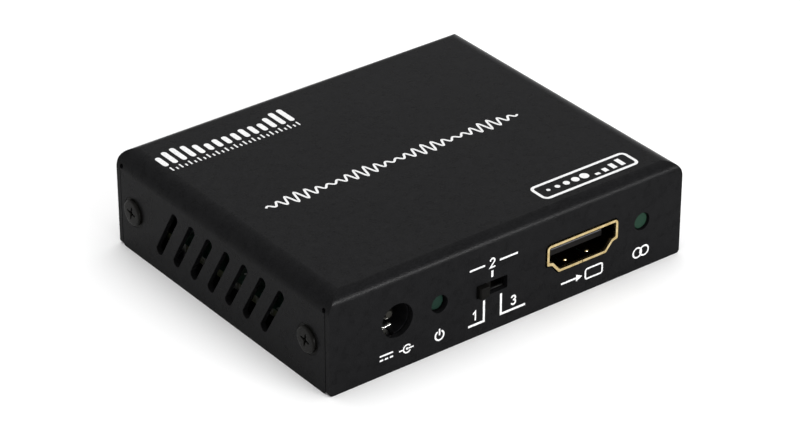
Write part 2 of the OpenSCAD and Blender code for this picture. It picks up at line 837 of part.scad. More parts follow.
module switch_base() {
    back = back_of_panel + switch_d;
    rim = switch_wall + fit_gap;
    color("#6a4a2a") at_front(switch_x) difference() {
        port_prism(back - switch_base_t, back, switch_z)
            square([switch_w - 2 * rim, switch_h - 2 * rim], center = true);
        for (i = [0 : switch_terminal_count - 1])
            port_prism(back - switch_base_t - cut, back + cut, switch_z)
                translate([switch_terminal_x(i), 0])
                    square([switch_terminal_w + 2 * fit_gap, switch_terminal_t + 2 * fit_gap], center = true);
    }
}

module switch_terminals() {
    back = back_of_panel + switch_d;
    foot = board_bottom - lead_tail;
    color("#d0ccc0") at_front(switch_x) for (i = [0 : switch_terminal_count - 1])
        translate([switch_terminal_x(i), 0, 0]) {
            port_prism(back - switch_base_t - fit_gap, switch_terminal_y, switch_z)
                square([switch_terminal_w, switch_terminal_t], center = true);
            block([switch_terminal_w, switch_terminal_t, switch_z + switch_terminal_t / 2 - foot],
                  [0, switch_terminal_y, foot]);
        }
}

module switch_knob() {
    half = knob_w / 2;
    root = carriage_y + cut;
    color("#202021") at_front(knob_start_x) {
        translate([0, 0, switch_z]) linear_extrude(knob_h, center = true)
            polygon([[half, root], [half, knob_edge - knob_proud], [half - knob_edge, -knob_proud],
                     [knob_edge - half, -knob_proud], [-half, knob_edge - knob_proud], [-half, root]]);
        port_prism(carriage_y, carriage_y + carriage_d, switch_z)
            square([carriage_w, switch_h - 2 * (switch_wall + carriage_gap)], center = true);
    }
}

module switch_wiper() {
    reach = switch_d - switch_wall - carriage_gap - carriage_d - switch_base_t;
    color("#b9843c") at_front(knob_start_x)
        translate([-wiper_w / 2, carriage_y + carriage_d, switch_z])
            bowed_leaf(wiper_w, reach - wiper_t - wiper_gap, wiper_t, knob_h);
}

// HDMI ports

// Outline of the shell, taken in by an inset, about its middle
function hdmi_outline(inset) =
    let (
        top = hdmi_h / 2,
        shoulder = top - hdmi_side_h,
        ledge = shoulder - hdmi_shoulder_drop,
        rise = hdmi_h - hdmi_side_h - hdmi_shoulder_drop,
        run = (hdmi_shoulder_w - hdmi_floor_w) / 2,
        slide = inset * tan(atan2(rise, run) / 2),
        w = hdmi_w / 2 - inset,
        sw = hdmi_shoulder_w / 2 - slide,
        fw = hdmi_floor_w / 2 - slide,
        corner = max(hdmi_corner_r - inset, hdmi_small_r / 2),
        points = [[-w, top - inset], [w, top - inset], [w, shoulder + inset], [sw, ledge + inset],
                  [fw, inset - top], [-fw, inset - top], [-sw, ledge + inset], [-w, shoulder + inset]],
        small = hdmi_small_r
    )
    rounded_outline(points, [corner, corner, small, small, small, small, small, small]);

// One finger pressed inwards from the shell's upper or lower wall
module hdmi_finger(side) {
    face = side * (hdmi_h / 2 - hdmi_wall / 2);
    translate([0, hdmi_finger_start + hdmi_finger_l, hdmi_z + face])
        rotate([0, side > 0 ? 90 : -90, 0]) rotate([0, 0, -90]) translate([-cut, -hdmi_finger_t / 2, 0])
            bowed_leaf(hdmi_finger_l + cut, hdmi_finger_bow, hdmi_finger_t, hdmi_finger_w,
                       hdmi_finger_peak_share);
}

module hdmi_finger_places(side) {
    offset = side > 0 ? hdmi_upper_finger_offset : hdmi_finger_offset;
    for (x = [-offset, offset]) translate([x, 0, 0]) children();
}

module hdmi_shell() {
    foot = board_bottom - lead_tail;
    difference() {
        union() {
            port_prism(-hdmi_proud, hdmi_l - hdmi_proud, hdmi_z) polygon(hdmi_outline(0));
            both_sides() for (y = hdmi_leg_places)
                block([hdmi_wall, hdmi_leg_w, hdmi_z - foot], [hdmi_w / 2 - hdmi_wall / 2, y, foot]);
        }
        port_prism(-hdmi_proud - cut, hdmi_l + cut, hdmi_z) polygon(hdmi_outline(hdmi_wall));
        for (side = [-1, 1]) hdmi_finger_places(side)
            translate([0, hdmi_finger_start + hdmi_finger_l / 2 - hdmi_finger_gap / 2,
                       hdmi_z + side * (hdmi_h / 2 - hdmi_wall / 2)])
                cube([hdmi_finger_w + 2 * hdmi_finger_gap, hdmi_finger_l + hdmi_finger_gap, 2 * hdmi_wall],
                     center = true);
        block([hdmi_seam, 3 * hdmi_l, 2 * hdmi_wall], [0, 0, hdmi_z - hdmi_h / 2 - hdmi_wall / 2]);
    }
    for (side = [-1, 1]) hdmi_finger_places(side) hdmi_finger(side);
}

// Where the rows of contacts lie: centre across, and height of the strip's underside
function upper_x(i) = (i - (upper_contacts - 1) / 2) * contact_pitch;
function lower_x(i) = (i - (lower_contacts - 1) / 2) * contact_pitch;

module hdmi_tongue() {
    block_start = hdmi_l - hdmi_proud - tongue_block_l;
    difference() {
        union() {
            port_prism(block_start, hdmi_l - hdmi_proud, hdmi_z)
                polygon(hdmi_outline(hdmi_wall + fit_gap));
            port_prism(tongue_back, block_start + cut, tongue_z)
                square([tongue_w, tongue_t], center = true);
        }
        for (i = [0 : upper_contacts - 1])
            contact_way(upper_x(i), tongue_z + tongue_t / 2);
        for (i = [0 : lower_contacts - 1])
            contact_way(lower_x(i), tongue_z - tongue_t / 2 - contact_t);
    }
}

// Channel of one contact through the insulator's block
module contact_way(x, z) {
    block([contact_w + 2 * contact_gap, 2 * tongue_block_l, contact_t + contact_gap],
          [x, hdmi_l - hdmi_proud, z > tongue_z ? z : z - contact_gap]);
}

// One contact: a strip on the tongue, a riser behind the block and a foot on the board
module hdmi_contact(x, z) {
    riser_y = hdmi_l + contact_riser;
    start = tongue_back + contact_start;
    block([contact_w, riser_y - start, contact_t], [x, (start + riser_y) / 2, z]);
    block([contact_w, contact_t, z + contact_t - board_top], [x, riser_y + contact_t / 2, board_top]);
    block([contact_w, contact_foot_l, contact_t], [x, riser_y + contact_foot_l / 2, board_top]);
}

module hdmi_contacts() {
    for (i = [0 : upper_contacts - 1]) hdmi_contact(upper_x(i), tongue_z + tongue_t / 2);
    for (i = [0 : lower_contacts - 1]) hdmi_contact(lower_x(i), tongue_z - tongue_t / 2 - contact_t);
}

module hdmi_in_shell() {
    color("#d8b765") at_front(hdmi_in_x) hdmi_shell();
}

module hdmi_in_tongue() {
    color("#1a1a1b") at_front(hdmi_in_x) hdmi_tongue();
}

module hdmi_in_contacts() {
    color("#d9bb6a") at_front(hdmi_in_x) hdmi_contacts();
}

module hdmi_out_shell() {
    color("#d8b765") at_rear(hdmi_out_x) hdmi_shell();
}

module hdmi_out_tongue() {
    color("#1a1a1b") at_rear(hdmi_out_x) hdmi_tongue();
}

module hdmi_out_contacts() {
    color("#d9bb6a") at_rear(hdmi_out_x) hdmi_contacts();
}

// Optical port

// Outline of the plug's opening: a square with its two lower corners bevelled, standing on z = 0
module optical_opening(w, h, bevel) {
    side = w / 2;
    polygon([[-side, h], [side, h], [side, bevel], [side - bevel, 0], [bevel - side, 0], [-side, bevel]]);
}

module optical_housing() {
    pocket_floor = shutter_z - shutter_knuckle_r;
    color("#171718") at_rear(optical_x) difference() {
        union() {
            block([optical_w, optical_l - back_of_panel, optical_h],
                  [0, (optical_l + back_of_panel) / 2, board_top]);
            port_prism(0, back_of_panel + cut, optical_nose_z)
                square([optical_nose_w, optical_nose_h], center = true);
        }
        port_prism(-cut, optical_open_d, optical_floor_z)
            optical_opening(optical_open_w, optical_open_h, optical_bevel);
        block([optical_open_w, optical_open_d - shutter_lip, shutter_ceiling + shutter_knuckle_r],
              [0, (optical_open_d + shutter_lip) / 2, pocket_floor]);
        translate([0, shutter_axis_depth, shutter_z]) rotate([0, 90, 0])
            cylinder(h = shutter_pin_l + 2 * fit_gap, r = shutter_pin_r + fit_gap / 2, center = true);
        port_prism(optical_open_d - cut, optical_l - emitter_d + cut, optical_axis_z)
            circle(ferrule_hole_r);
        port_prism(optical_l - emitter_d - fit_gap, optical_l + cut, optical_axis_z)
            square([emitter_w + 2 * fit_gap, emitter_h + 2 * fit_gap], center = true);
    }
}

module optical_shutter() {
    w = optical_open_w - 2 * shutter_gap;
    drop = shutter_z - optical_floor_z - shutter_gap;
    face = shutter_axis_depth - shutter_t / 2;
    color("#202022") at_rear(optical_x) difference() {
        union() {
            port_prism(face, face + shutter_t, shutter_z - drop) optical_opening(w, drop, optical_bevel);
            translate([0, shutter_axis_depth, shutter_z]) rotate([0, 90, 0])
                cylinder(h = w, r = shutter_knuckle_r, center = true);
        }
        translate([0, shutter_axis_depth, shutter_z]) rotate([0, 90, 0])
            cylinder(h = w + 2 * cut, r = shutter_pin_r + shutter_running_gap, center = true);
        translate([0, shutter_axis_depth, shutter_z])
            cube([w - 2 * shutter_knuckle_w, 2 * shutter_knuckle_r + cut,
                  2 * (shutter_knuckle_r + shutter_gap)], center = true);
    }
}

module shutter_pin() {
    color("#c2c2c0") at_rear(optical_x) translate([0, shutter_axis_depth, shutter_z]) rotate([0, 90, 0])
        cylinder(h = shutter_pin_l, r = shutter_pin_r, center = true);
}

// Points of the spring's wire: a coil round the pin, then a leg down the shutter's inner face
function spring_path() =
    let (
        steps = 12,
        count = spring_turns * steps + 1,
        advance = spring_coil_w / (count - 1),
        coil = [for (i = [0 : count - 1])
            let (a = 90 + 360 * i / steps)
            [advance * i - spring_coil_w / 2, spring_coil_r * sin(a), spring_coil_r * cos(a)]],
        last = coil[count - 1],
        leg_y = shutter_t / 2 + spring_wire_r + fit_gap
    )
    concat(coil, [[last[0], leg_y, last[2] - spring_leg_l]]);

// Tube of a round wire along a path that never runs along X
module wire(path, r, sides = 6) {
    count = len(path);
    function along(i) = unit(path[min(i + 1, count - 1)] - path[max(i - 1, 0)]);
    function across(i) = unit(cross(along(i), [1, 0, 0]));
    rings = [for (i = [0 : count - 1]) let (u = across(i), v = cross(along(i), u))
        for (k = [0 : sides - 1]) path[i] + r * (cos(360 * k / sides) * u + sin(360 * k / sides) * v)];
    skin = [for (i = [0 : count - 2]) for (k = [0 : sides - 1])
        let (a = i * sides + k, b = i * sides + (k + 1) % sides)
        each [[a, a + sides, b], [b, a + sides, b + sides]]];
    start = [for (k = [1 : sides - 2]) [0, k, k + 1]];
    finish = [for (k = [1 : sides - 2]) let (z = (count - 1) * sides) [z, z + k + 1, z + k]];
    polyhedron(rings, concat(skin, start, finish), convexity = 6);
}

module shutter_spring() {
    color("#cfcfcc") at_rear(optical_x) translate([0, shutter_axis_depth, shutter_z])
        wire(spring_path(), spring_wire_r);
}

module optical_emitter() {
    color("#5a1b1b") at_rear(optical_x) {
        port_prism(optical_l - emitter_d, optical_l, optical_axis_z)
            square([emitter_w, emitter_h], center = true);
        port_prism(optical_l - emitter_d - emitter_lens_l, optical_l - emitter_d + cut, optical_axis_z)
            circle(emitter_lens_r);
    }
}

module optical_leads() {
    foot = board_bottom - lead_tail;
    color("#c9c7c0") at_rear(optical_x) for (i = [-1 : 1]) {
        port_prism(optical_l, optical_lead_y, optical_axis_z)
            translate([i * optical_lead_pitch, 0]) square([optical_lead_w, optical_lead_t], center = true);
        block([optical_lead_w, optical_lead_t, optical_axis_z + optical_lead_t / 2 - foot],
              [i * optical_lead_pitch, optical_lead_y, foot]);
    }
}

// Audio jack

// Puts its children where each leaf contact is, with the leaf on the +X side
module audio_leaf_ways() {
    for (i = [0 : len(audio_leaf_places) - 1]) mirror([audio_leaf_sides[i] > 0 ? 0 : 1, 0, 0])
        translate([0, audio_leaf_places[i], audio_z]) children();
}

module audio_jack_body() {
    color("#161617") at_rear(audio_x) difference() {
        block([audio_w, audio_l, audio_h], [0, back_of_panel + audio_l / 2, board_top]);
        port_prism(back_of_panel - cut, back_of_panel + audio_bore_l, audio_z) circle(audio_inner_r);
        port_prism(back_of_panel - cut, back_of_panel + ferrule_neck_l, audio_z)
            circle(ferrule_neck_r + fit_gap);
        audio_leaf_ways() translate([0, -audio_leaf_l / 2 - fit_gap, -audio_leaf_w / 2 - fit_gap])
            cube([audio_w, audio_leaf_l + 2 * fit_gap, audio_leaf_w + 2 * fit_gap]);
    }
}

module audio_jack_ferrule() {
    color("#b9b9b7") at_rear(audio_x) difference() {
        union() {
            port_prism(-ferrule_proud, back_of_panel, audio_z) circle(ferrule_r);
            port_prism(-ferrule_proud, back_of_panel + ferrule_neck_l, audio_z) circle(ferrule_neck_r);
        }
        port_prism(-ferrule_proud - cut, back_of_panel + ferrule_neck_l + cut, audio_z)
            circle(audio_bore_r);
    }
}

// Bowed leaf, a strip out of the body behind it, and a lug down through the board
module audio_jack_contacts() {
    leaf_x = audio_inner_r + audio_leaf_back;
    drop = audio_z - board_bottom + lead_tail;
    color("#cdb878") at_rear(audio_x) audio_leaf_ways() {
        translate([leaf_x, -audio_leaf_l / 2, 0]) rotate([0, 0, 90])
            bowed_leaf(audio_leaf_l, audio_leaf_bow, audio_leaf_t, audio_leaf_w);
        translate([leaf_x - audio_leaf_t, audio_leaf_l / 2 - audio_leaf_t, -audio_leaf_w / 2])
            cube([audio_lug_x - leaf_x + audio_leaf_t, audio_leaf_t, audio_leaf_w]);
        translate([audio_lug_x - audio_lug_t / 2, -audio_leaf_w / 2, -drop])
            cube([audio_lug_t, audio_leaf_w, drop]);
        translate([audio_lug_x - audio_lug_t / 2, -audio_leaf_w / 2, -audio_leaf_w / 2])
            cube([audio_lug_t, (audio_leaf_l + audio_leaf_w) / 2, audio_leaf_w]);
    }
}

// Parts on the board

module main_chip() {
    color("#1c1c1d") block([main_chip_side, main_chip_side, main_chip_h],
                           [main_chip_at[0], main_chip_at[1], board_top]);
}

module thermal_pad() {
    color("#9aa3a8") block([main_chip_side, main_chip_side, sink_gap],
                           [main_chip_at[0], main_chip_at[1], board_top + main_chip_h]);
}

module heat_sink() {
    step = (sink_side - fin_t) / (fin_count - 1);
    foot_z = board_top + main_chip_h + sink_gap;
    color("#a9acae") translate([main_chip_at[0], main_chip_at[1], foot_z]) {
        block([sink_side, sink_side, sink_foot_t], [0, 0, 0]);
        for (i = [0 : fin_count - 1])
            block([fin_t, sink_side, sink_foot_t + fin_h], [fin_t / 2 - sink_side / 2 + i * step, 0, 0]);
    }
}

// Bent pin that leaves a chip's side at y = 0 and a height, comes down and runs out on the board
module chip_pin(h) {
    translate([-pin_w / 2, -cut, h]) cube([pin_w, pin_knee + cut, pin_t]);
    translate([-pin_w / 2, pin_knee - pin_t, 0]) cube([pin_w, pin_t, h + pin_t]);
    translate([-pin_w / 2, pin_knee - pin_t, 0]) cube([pin_w, pin_reach - pin_knee + pin_t, pin_t]);
}

// Chip with bent pins along two sides
module two_row_chip(size, pins, pitch) {
    block(size, [0, 0, pin_t]);
    for (turn = [0, 180]) rotate(turn) for (i = [0 : pins - 1])
        translate([(i - (pins - 1) / 2) * pitch, size[1] / 2, 0]) chip_pin(size[2] / 2);
}

module audio_chip() {
    color("#1c1c1d") translate([audio_chip_at[0], audio_chip_at[1], board_top])
        two_row_chip(audio_chip_size, audio_chip_pins, pin_pitch);
}

module control_chip() {
    color("#1c1c1d") translate([control_chip_at[0], control_chip_at[1], board_top])
        for (turn = [0, 90]) rotate(turn) two_row_chip(control_chip_size, control_chip_pins, pin_pitch);
}

module power_regulator() {
    color("#1c1c1d") translate([regulator_at[0], regulator_at[1], board_top])
        two_row_chip(regulator_size, regulator_pins, regulator_pin_pitch);
}

module power_inductor() {
    w = inductor_size[0] / 2;
    d = inductor_size[1] / 2;
    color("#3b3b3d") translate([inductor_at[0], inductor_at[1], board_top])
        linear_extrude(inductor_size[2])
            polygon(rounded_outline([[-w, -d], [w, -d], [w, d], [-w, d]],
                                    [for (i = [0 : 3]) inductor_corner_r]));
}

module crystal_can() {
    r = crystal_size[0] / 2;
    reach = crystal_size[1] / 2 - r;
    color("#c8c8c6") translate([crystal_at[0], crystal_at[1], board_top]) {
        block([2 * r, 2 * reach, crystal_size[2]], [0, 0, 0]);
        for (end = [-1, 1]) translate([0, end * reach, 0]) cylinder(h = crystal_size[2], r = r);
    }
}

module filter_capacitors() {
    foot = 2 * (capacitor_r + capacitor_foot_gap);
    color("#b4b6b8") for (place = capacitor_places) translate([place[0], place[1], board_top]) {
        block([foot, foot, capacitor_foot_h], [0, 0, 0]);
        cylinder(h = capacitor_h, r = capacitor_r);
    }
}

module chip_parts() {
    half_run = chip_part_pitch * (chip_part_count - 1) / 2;
    color("#8b6f4c") for (row = chip_part_rows) for (i = [0 : chip_part_count - 1])
        block(chip_part_size, [row[0], row[1] + i * chip_part_pitch - half_run, board_top]);
}

top_cover();
base_plate();
side_screws();
board_standoffs();
circuit_board();
board_screws();
dc_jack_body();
dc_jack_pin();
dc_jack_spring();
power_led();
link_led();
lamp_leads();
switch_frame();
switch_base();
switch_terminals();
switch_knob();
switch_wiper();
hdmi_in_shell();
hdmi_in_tongue();
hdmi_in_contacts();
hdmi_out_shell();
hdmi_out_tongue();
hdmi_out_contacts();
optical_housing();
optical_shutter();
shutter_pin();
shutter_spring();
optical_emitter();
optical_leads();
audio_jack_body();
audio_jack_ferrule();
audio_jack_contacts();
main_chip();
thermal_pad();
heat_sink();
audio_chip();
control_chip();
power_regulator();
power_inductor();
crystal_can();
filter_capacitors();
chip_parts();
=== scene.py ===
"""Looks of a small audio extractor box.

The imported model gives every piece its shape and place. This script gives each one its finish, adds the
marks printed on the panels, the raised heads of the side screws and a few small bends and bumps, and sets
up the studio and the camera. Lengths are in metres, and the sizes in the classes below are given as
millimetres times MM. The origin is the bottom centre of the box, with +X to the right along the front
panel, -Y out of the front panel and +Z up.
"""

import logging
import math
from collections.abc import Iterable
from dataclasses import dataclass
from enum import Enum
from typing import ClassVar

import bpy
import numpy as np
from mathutils import Matrix, Vector


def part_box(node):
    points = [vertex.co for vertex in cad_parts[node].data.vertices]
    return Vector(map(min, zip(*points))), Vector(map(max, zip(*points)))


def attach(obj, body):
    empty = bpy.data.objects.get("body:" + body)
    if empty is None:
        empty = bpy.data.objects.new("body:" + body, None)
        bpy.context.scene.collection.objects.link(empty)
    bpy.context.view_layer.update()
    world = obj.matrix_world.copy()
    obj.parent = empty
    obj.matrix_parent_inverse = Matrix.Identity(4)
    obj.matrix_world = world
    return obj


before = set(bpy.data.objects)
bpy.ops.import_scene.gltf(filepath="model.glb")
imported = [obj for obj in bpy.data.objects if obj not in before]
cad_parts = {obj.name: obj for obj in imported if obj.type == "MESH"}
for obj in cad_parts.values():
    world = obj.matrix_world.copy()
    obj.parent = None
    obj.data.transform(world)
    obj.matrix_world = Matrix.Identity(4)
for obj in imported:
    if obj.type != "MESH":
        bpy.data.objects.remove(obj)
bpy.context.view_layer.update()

MM = 0.001
LOG = logging.getLogger("extractor")
Colour = tuple[float, float, float]
Point = tuple[float, float, float]
Spot = tuple[float, float]
Socket = bpy.types.NodeSocket
Box = tuple[Point, Point]
Surface = tuple[np.ndarray, np.ndarray | list]

VECTOR, FLOAT = "NodeSocketVector", "NodeSocketFloat"
INPUTS = {"colour": "Base Color", "rough": "Roughness", "metal": "Metallic", "specular": "Specular IOR Level"}
MID = (0.3, 0.7)  # most of a noise lies in this range
DUST = (0.20, 0.20, 0.19)
TURNED = [0, 3, 2, 1]  # a face's corners the other way round


# Node trees


class Graph:
    """Adds nodes and links to one shader node tree."""

    def __init__(self, tree: bpy.types.NodeTree) -> None:
        """Keeps the tree that nodes are added to."""
        self.tree = tree

    def feed(self, socket: Socket, value: object) -> None:
        """Links a socket, or sets its constant.

        Args:
            socket: the input to fill.
            value: an output socket, a number, or a tuple for a vector or a colour.
        """
        if isinstance(value, Socket):
            self.tree.links.new(value, socket)
        elif isinstance(value, tuple) and len(socket.default_value) == 4 and len(value) == 3:
            socket.default_value = (*value, 1.0)
        else:
            socket.default_value = value

    def add(self, kind: str, inputs: dict | None = None, **settings: object) -> bpy.types.Node:
        """Adds one node.

        Args:
            kind: the node's type name.
            inputs: values or output sockets, by input name or number.
            settings: the node's own properties.

        Returns:
            The new node.
        """
        node = self.tree.nodes.new(kind)
        for name, value in settings.items():
            setattr(node, name, value)
        for name, value in (inputs or {}).items():
            self.feed(node.inputs[name], value)
        return node

    def math(self, operation: str, a: object, b: object = 0.0, clamp: bool = False) -> Socket:
        """Works out one sum of two values or sockets, held between 0 and 1 where it is clamped."""
        return self.add("ShaderNodeMath", {0: a, 1: b}, operation=operation, use_clamp=clamp).outputs[0]

    def weigh(self, a: object, share: float, b: object, other: float) -> Socket:
        """Adds one value times its share to another times its own."""
        return self.math("ADD", self.math("MULTIPLY", a, share), self.math("MULTIPLY", b, other))

    def vector(self, operation: str, a: object, b: object = (0.0, 0.0, 0.0)) -> Socket:
        """Works out one sum of two vectors or sockets."""
        return self.add("ShaderNodeVectorMath", {0: a, 1: b}, operation=operation).outputs[0]

    def split(self, vector: object) -> bpy.types.bpy_prop_collection:
        """Gives a vector's X, Y and Z sockets."""
        return self.add("ShaderNodeSeparateXYZ", {0: vector}).outputs

    def remap(self, value: object, low: float, high: float, start: object = 0.0, end: object = 1.0) -> Socket:
        """Maps the range of a value from low to high smoothly to the one from start to end."""
        ends = {"Value": value, "From Min": low, "From Max": high, "To Min": start, "To Max": end}
        return self.add("ShaderNodeMapRange", ends, interpolation_type="SMOOTHSTEP").outputs[0]

    def mix(self, factor: object, a: object, b: object) -> Socket:
        """Mixes two colours, where a factor of 0 gives the first and 1 the second."""
        return self.add("ShaderNodeMix", {0: factor, 6: a, 7: b}, data_type="RGBA").outputs[2]

    def noise(self, point: object, scale: object, detail: float = 2.0) -> Socket:
        """Adds a noise about 0.5, with so many cells in a metre and so many finer layers."""
        inputs = {"Vector": point, "Scale": scale, "Detail": detail}
        return self.add("ShaderNodeTexNoise", inputs).outputs["Fac"]

    def normal(self) -> Socket:
        """Gives the direction that the surface faces."""
        return self.add("ShaderNodeNewGeometry").outputs["Normal"]

    def shown(self) -> Socket:
        """Gives 1 for camera, glossy and transmission rays, and 0 for the rays that carry plain light."""
        ray = self.add("ShaderNodeLightPath").outputs
        return self.math("MAXIMUM", self.math("MAXIMUM", ray["Is Camera Ray"], ray["Is Glossy Ray"]),
                         ray["Is Transmission Ray"])


class Effect(Graph):
    """A node group that the finishes share, made once and then found by its name."""

    sockets = {
        "grain": ({"Size": FLOAT}, ("Height", "Patches")),
        "drawn": ({"Stretch": VECTOR, "Size": FLOAT}, ("Height", "Tone")),
        "inside": ({"Centre": VECTOR, "Half": VECTOR}, ("Mask",)),
        "dust": ({"Amount": FLOAT}, ("Mask",)),
    }
    patch_size = 8.0
    cloud_size = 12.0
    half_edge = 0.02 * MM
    speck_cells = 2600.0
    film_cells = 70.0

    def __init__(self, name: str) -> None:
        """Makes the group, its sockets and its nodes.

        Args:
            name: the effect's name, which is also that of the method that adds its nodes.
        """
        super().__init__(bpy.data.node_groups.new(name, "ShaderNodeTree"))
        inputs, outputs = self.sockets[name]
        for label, kind in {"Point": VECTOR, **inputs}.items():
            self.tree.interface.new_socket(label, in_out="INPUT", socket_type=kind)
        for label in outputs:
            self.tree.interface.new_socket(label, in_out="OUTPUT", socket_type=FLOAT)
        self.given, self.result = self.add("NodeGroupInput").outputs, self.add("NodeGroupOutput").inputs
        getattr(self, name)()

    def grain(self) -> None:
        """Adds fine grain of one size, and slow patches that are larger by the patch size."""
        point, scale = self.given["Point"], self.math("DIVIDE", 1.0, self.given["Size"])
        self.feed(self.result["Height"], self.noise(point, scale, 2.5))
        self.feed(self.result["Patches"], self.noise(point, self.math("DIVIDE", scale, self.patch_size), 3.0))

    def drawn(self) -> None:
        """Adds fine lines left by drawing or rolling, along the direction that is stretched least."""
        point, scale = self.given["Point"], self.math("DIVIDE", 1.0, self.given["Size"])
        lines = self.noise(self.vector("MULTIPLY", point, self.given["Stretch"]), scale, 4.0)
        cloud = self.noise(point, self.math("DIVIDE", scale, self.cloud_size), 3.0)
        self.feed(self.result["Height"], lines)
        self.feed(self.result["Tone"], self.weigh(lines, 0.5, cloud, 0.5))

    def inside(self) -> None:
        """Gives 1 inside a box of a centre and half sizes, and 0 outside, with a soft edge."""
        away = self.vector("ABSOLUTE", self.vector("SUBTRACT", self.given["Point"], self.given["Centre"]))
        left = self.split(self.vector("SUBTRACT", self.given["Half"], away))
        least = self.math("MINIMUM", self.math("MINIMUM", left[0], left[1]), left[2])
        self.feed(self.result["Mask"], self.remap(least, -self.half_edge, self.half_edge))

    def dust(self) -> None:
        """Adds specks and a thin film that lie on surfaces facing up."""
        flat = self.remap(self.split(self.normal())[2], 0.6, 0.95)
        specks = self.remap(self.noise(self.given["Point"], self.speck_cells, 1.0), 0.72, 0.78)
        film = self.remap(self.noise(self.given["Point"], self.film_cells, 4.0), 0.35, 0.8, 0.1, 0.6)
        total = self.math("MULTIPLY", self.weigh(specks, 0.8, film, 0.25), flat)
        self.feed(self.result["Mask"], self.math("MULTIPLY", total, self.given["Amount"], True))


class Coat(Graph):
    """A material with one Principled node, and the graph that feeds it."""

    def __init__(self, name: str) -> None:
        """Makes the material.

        Args:
            name: the material's name.
        """
        self.material = bpy.data.materials.new(name)
        self.material.use_nodes = True
        super().__init__(self.material.node_tree)
        self.body = self.tree.nodes["Principled BSDF"]
        self.point = self.add("ShaderNodeTexCoord").outputs["Object"]

    def set(self, **values: object) -> None:
        """Feeds the Principled node with values or sockets, by the short names in INPUTS."""
        for name, value in values.items():
            self.feed(self.body.inputs[INPUTS[name]], value)

    def use(self, name: str, **inputs: object) -> dict[str, Socket]:
        """Adds one use of a shared effect.

        Args:
            name: the effect's name.
            inputs: values or sockets by input name. The point is the one on the object.

        Returns:
            The output sockets by name.
        """
        tree = bpy.data.node_groups.get(name) or Effect(name).tree
        node = self.add("ShaderNodeGroup", {"Point": self.point, **inputs}, node_tree=tree)
        return {socket.name: socket for socket in node.outputs}

    def blend(self, value: object, low: float, high: float, a: Colour, b: Colour) -> Socket:
        """Runs from one colour to another over a range of a value."""
        return self.mix(self.remap(value, low, high), a, b)

    def inside(self, boxes: Iterable[Box]) -> object:
        """Gives 1 inside any of some boxes.

        Args:
            boxes: the centre and the half sizes of each.

        Returns:
            The mask.
        """
        mask = 0.0
        for centre, half in boxes:
            mask = self.math("MAXIMUM", mask, self.use("inside", Centre=centre, Half=half)["Mask"])
        return mask

    def cover(self, mask: object, colour: Colour) -> None:
        """Lays a colour over what feeds Base Color, where a mask is 1."""
        own = self.body.inputs["Base Color"].links[0].from_socket
        self.set(colour=self.mix(mask, own, colour))

    def bump(self, height: object, depth: float) -> None:
        """Stands a height out of the surface, where a height of 1 is as high as the depth."""
        made = self.add("ShaderNodeBump", {"Height": height, "Distance": depth, "Strength": 1.0})
        self.feed(self.body.inputs["Normal"], made.outputs[0])


def shade(colour: Colour, share: float) -> Colour:
    """Gives a colour times a share."""
    return tuple(min(1.0, share * part) for part in colour)


# Finishes


class Finish:
    """The look of a surface, from which each piece gets a material of its own."""

    def build(self, name: str) -> bpy.types.Material:
        """Makes the material.

        Args:
            name: the material's name.

        Returns:
            The material.
        """
        coat = Coat(name)
        self.dress(coat)
        return coat.material

    def dress(self, coat: Coat) -> None:
        """Feeds a material. Each finish has its own way."""
        raise NotImplementedError


@dataclass(frozen=True)
class PowderCoat(Finish):
    """Baked powder paint: a fine grain, small changes of tone, and a little dust on top."""

    colour: Colour = (0.0071, 0.0071, 0.0076)
    grain: float = 0.20 * MM
    depth: float = 0.034 * MM
    roughness: float = 0.28
    specular: float = 0.025
    dust: float = 0.03

    def dress(self, coat: Coat) -> None:
        """Changes the tone with the grain and its patches, 7 parts to 3.

        Args:
            coat: the material to feed.
        """
        grain = coat.use("grain", Size=self.grain)
        mottle = coat.weigh(grain["Patches"], 0.3, grain["Height"], 0.7)
        coat.set(colour=coat.blend(mottle, 0.35, 0.65, shade(self.colour, 0.70), shade(self.colour, 1.30)),
                 rough=coat.remap(grain["Patches"], 0.25, 0.75, self.roughness - 0.01, self.roughness + 0.01),
                 specular=self.specular)
        coat.cover(coat.use("dust", Amount=self.dust)["Mask"], DUST)
        coat.bump(grain["Height"], self.depth)


@dataclass(frozen=True)
class Plating(Finish):
    """Bare or plated metal with lines left by drawing or rolling."""

    colour: Colour
    roughness: float = 0.28
    stretch: Point = (1.0, 0.04, 1.0)
    size: float = 0.10 * MM
    depth: float = 0.002 * MM
    dull: Colour | None = None
    metallic: float = 1.0
    specular: float = 0.5

    def dress(self, coat: Coat) -> None:
        """Dulls and roughens the metal between its lines.

        Args:
            coat: the material to feed.
        """
        lines = coat.use("drawn", Stretch=self.stretch, Size=self.size)
        dull = self.dull or shade(self.colour, 0.72)
        coat.set(colour=coat.blend(lines["Tone"], 0.35, 0.65, dull, self.colour),
                 rough=coat.remap(lines["Tone"], *MID, self.roughness + 0.08, self.roughness - 0.05),
                 metal=self.metallic, specular=self.specular)
        coat.bump(lines["Height"], self.depth)


@dataclass(frozen=True)
class PaintedDepthLightPlating(Plating):
    """Plating with light painted deeper in: painted shade darkens a socket's shell, and a painted highlight
    makes a screw's recess paler.
    """

    axis: int = 1
    mouth: float = 30.0 * MM
    own_colour_depth: float = 0.30 * MM
    fade: float = 0.5 * MM
    # the painted light's colour: dark as painted shade in a shell, paler as a painted highlight in a screw's
    # recess
    painted_deep_colour: Colour = (0.026, 0.014, 0.005)

    def dress(self, coat: Coat) -> None:
        """Paints the deep colour behind the mouth, on both sides of the box: painted shade in a shell, a
        painted highlight in a screw's recess.

        Args:
            coat: the material to feed.
        """
        super().dress(coat)
        inward = coat.math("SUBTRACT", self.mouth, coat.math("ABSOLUTE", coat.split(coat.point)[self.axis]))
        # painted light: the deep colour is laid over the plating from the given depth inwards
        coat.cover(coat.remap(inward, self.own_colour_depth, self.own_colour_depth + self.fade), self.painted_deep_colour)


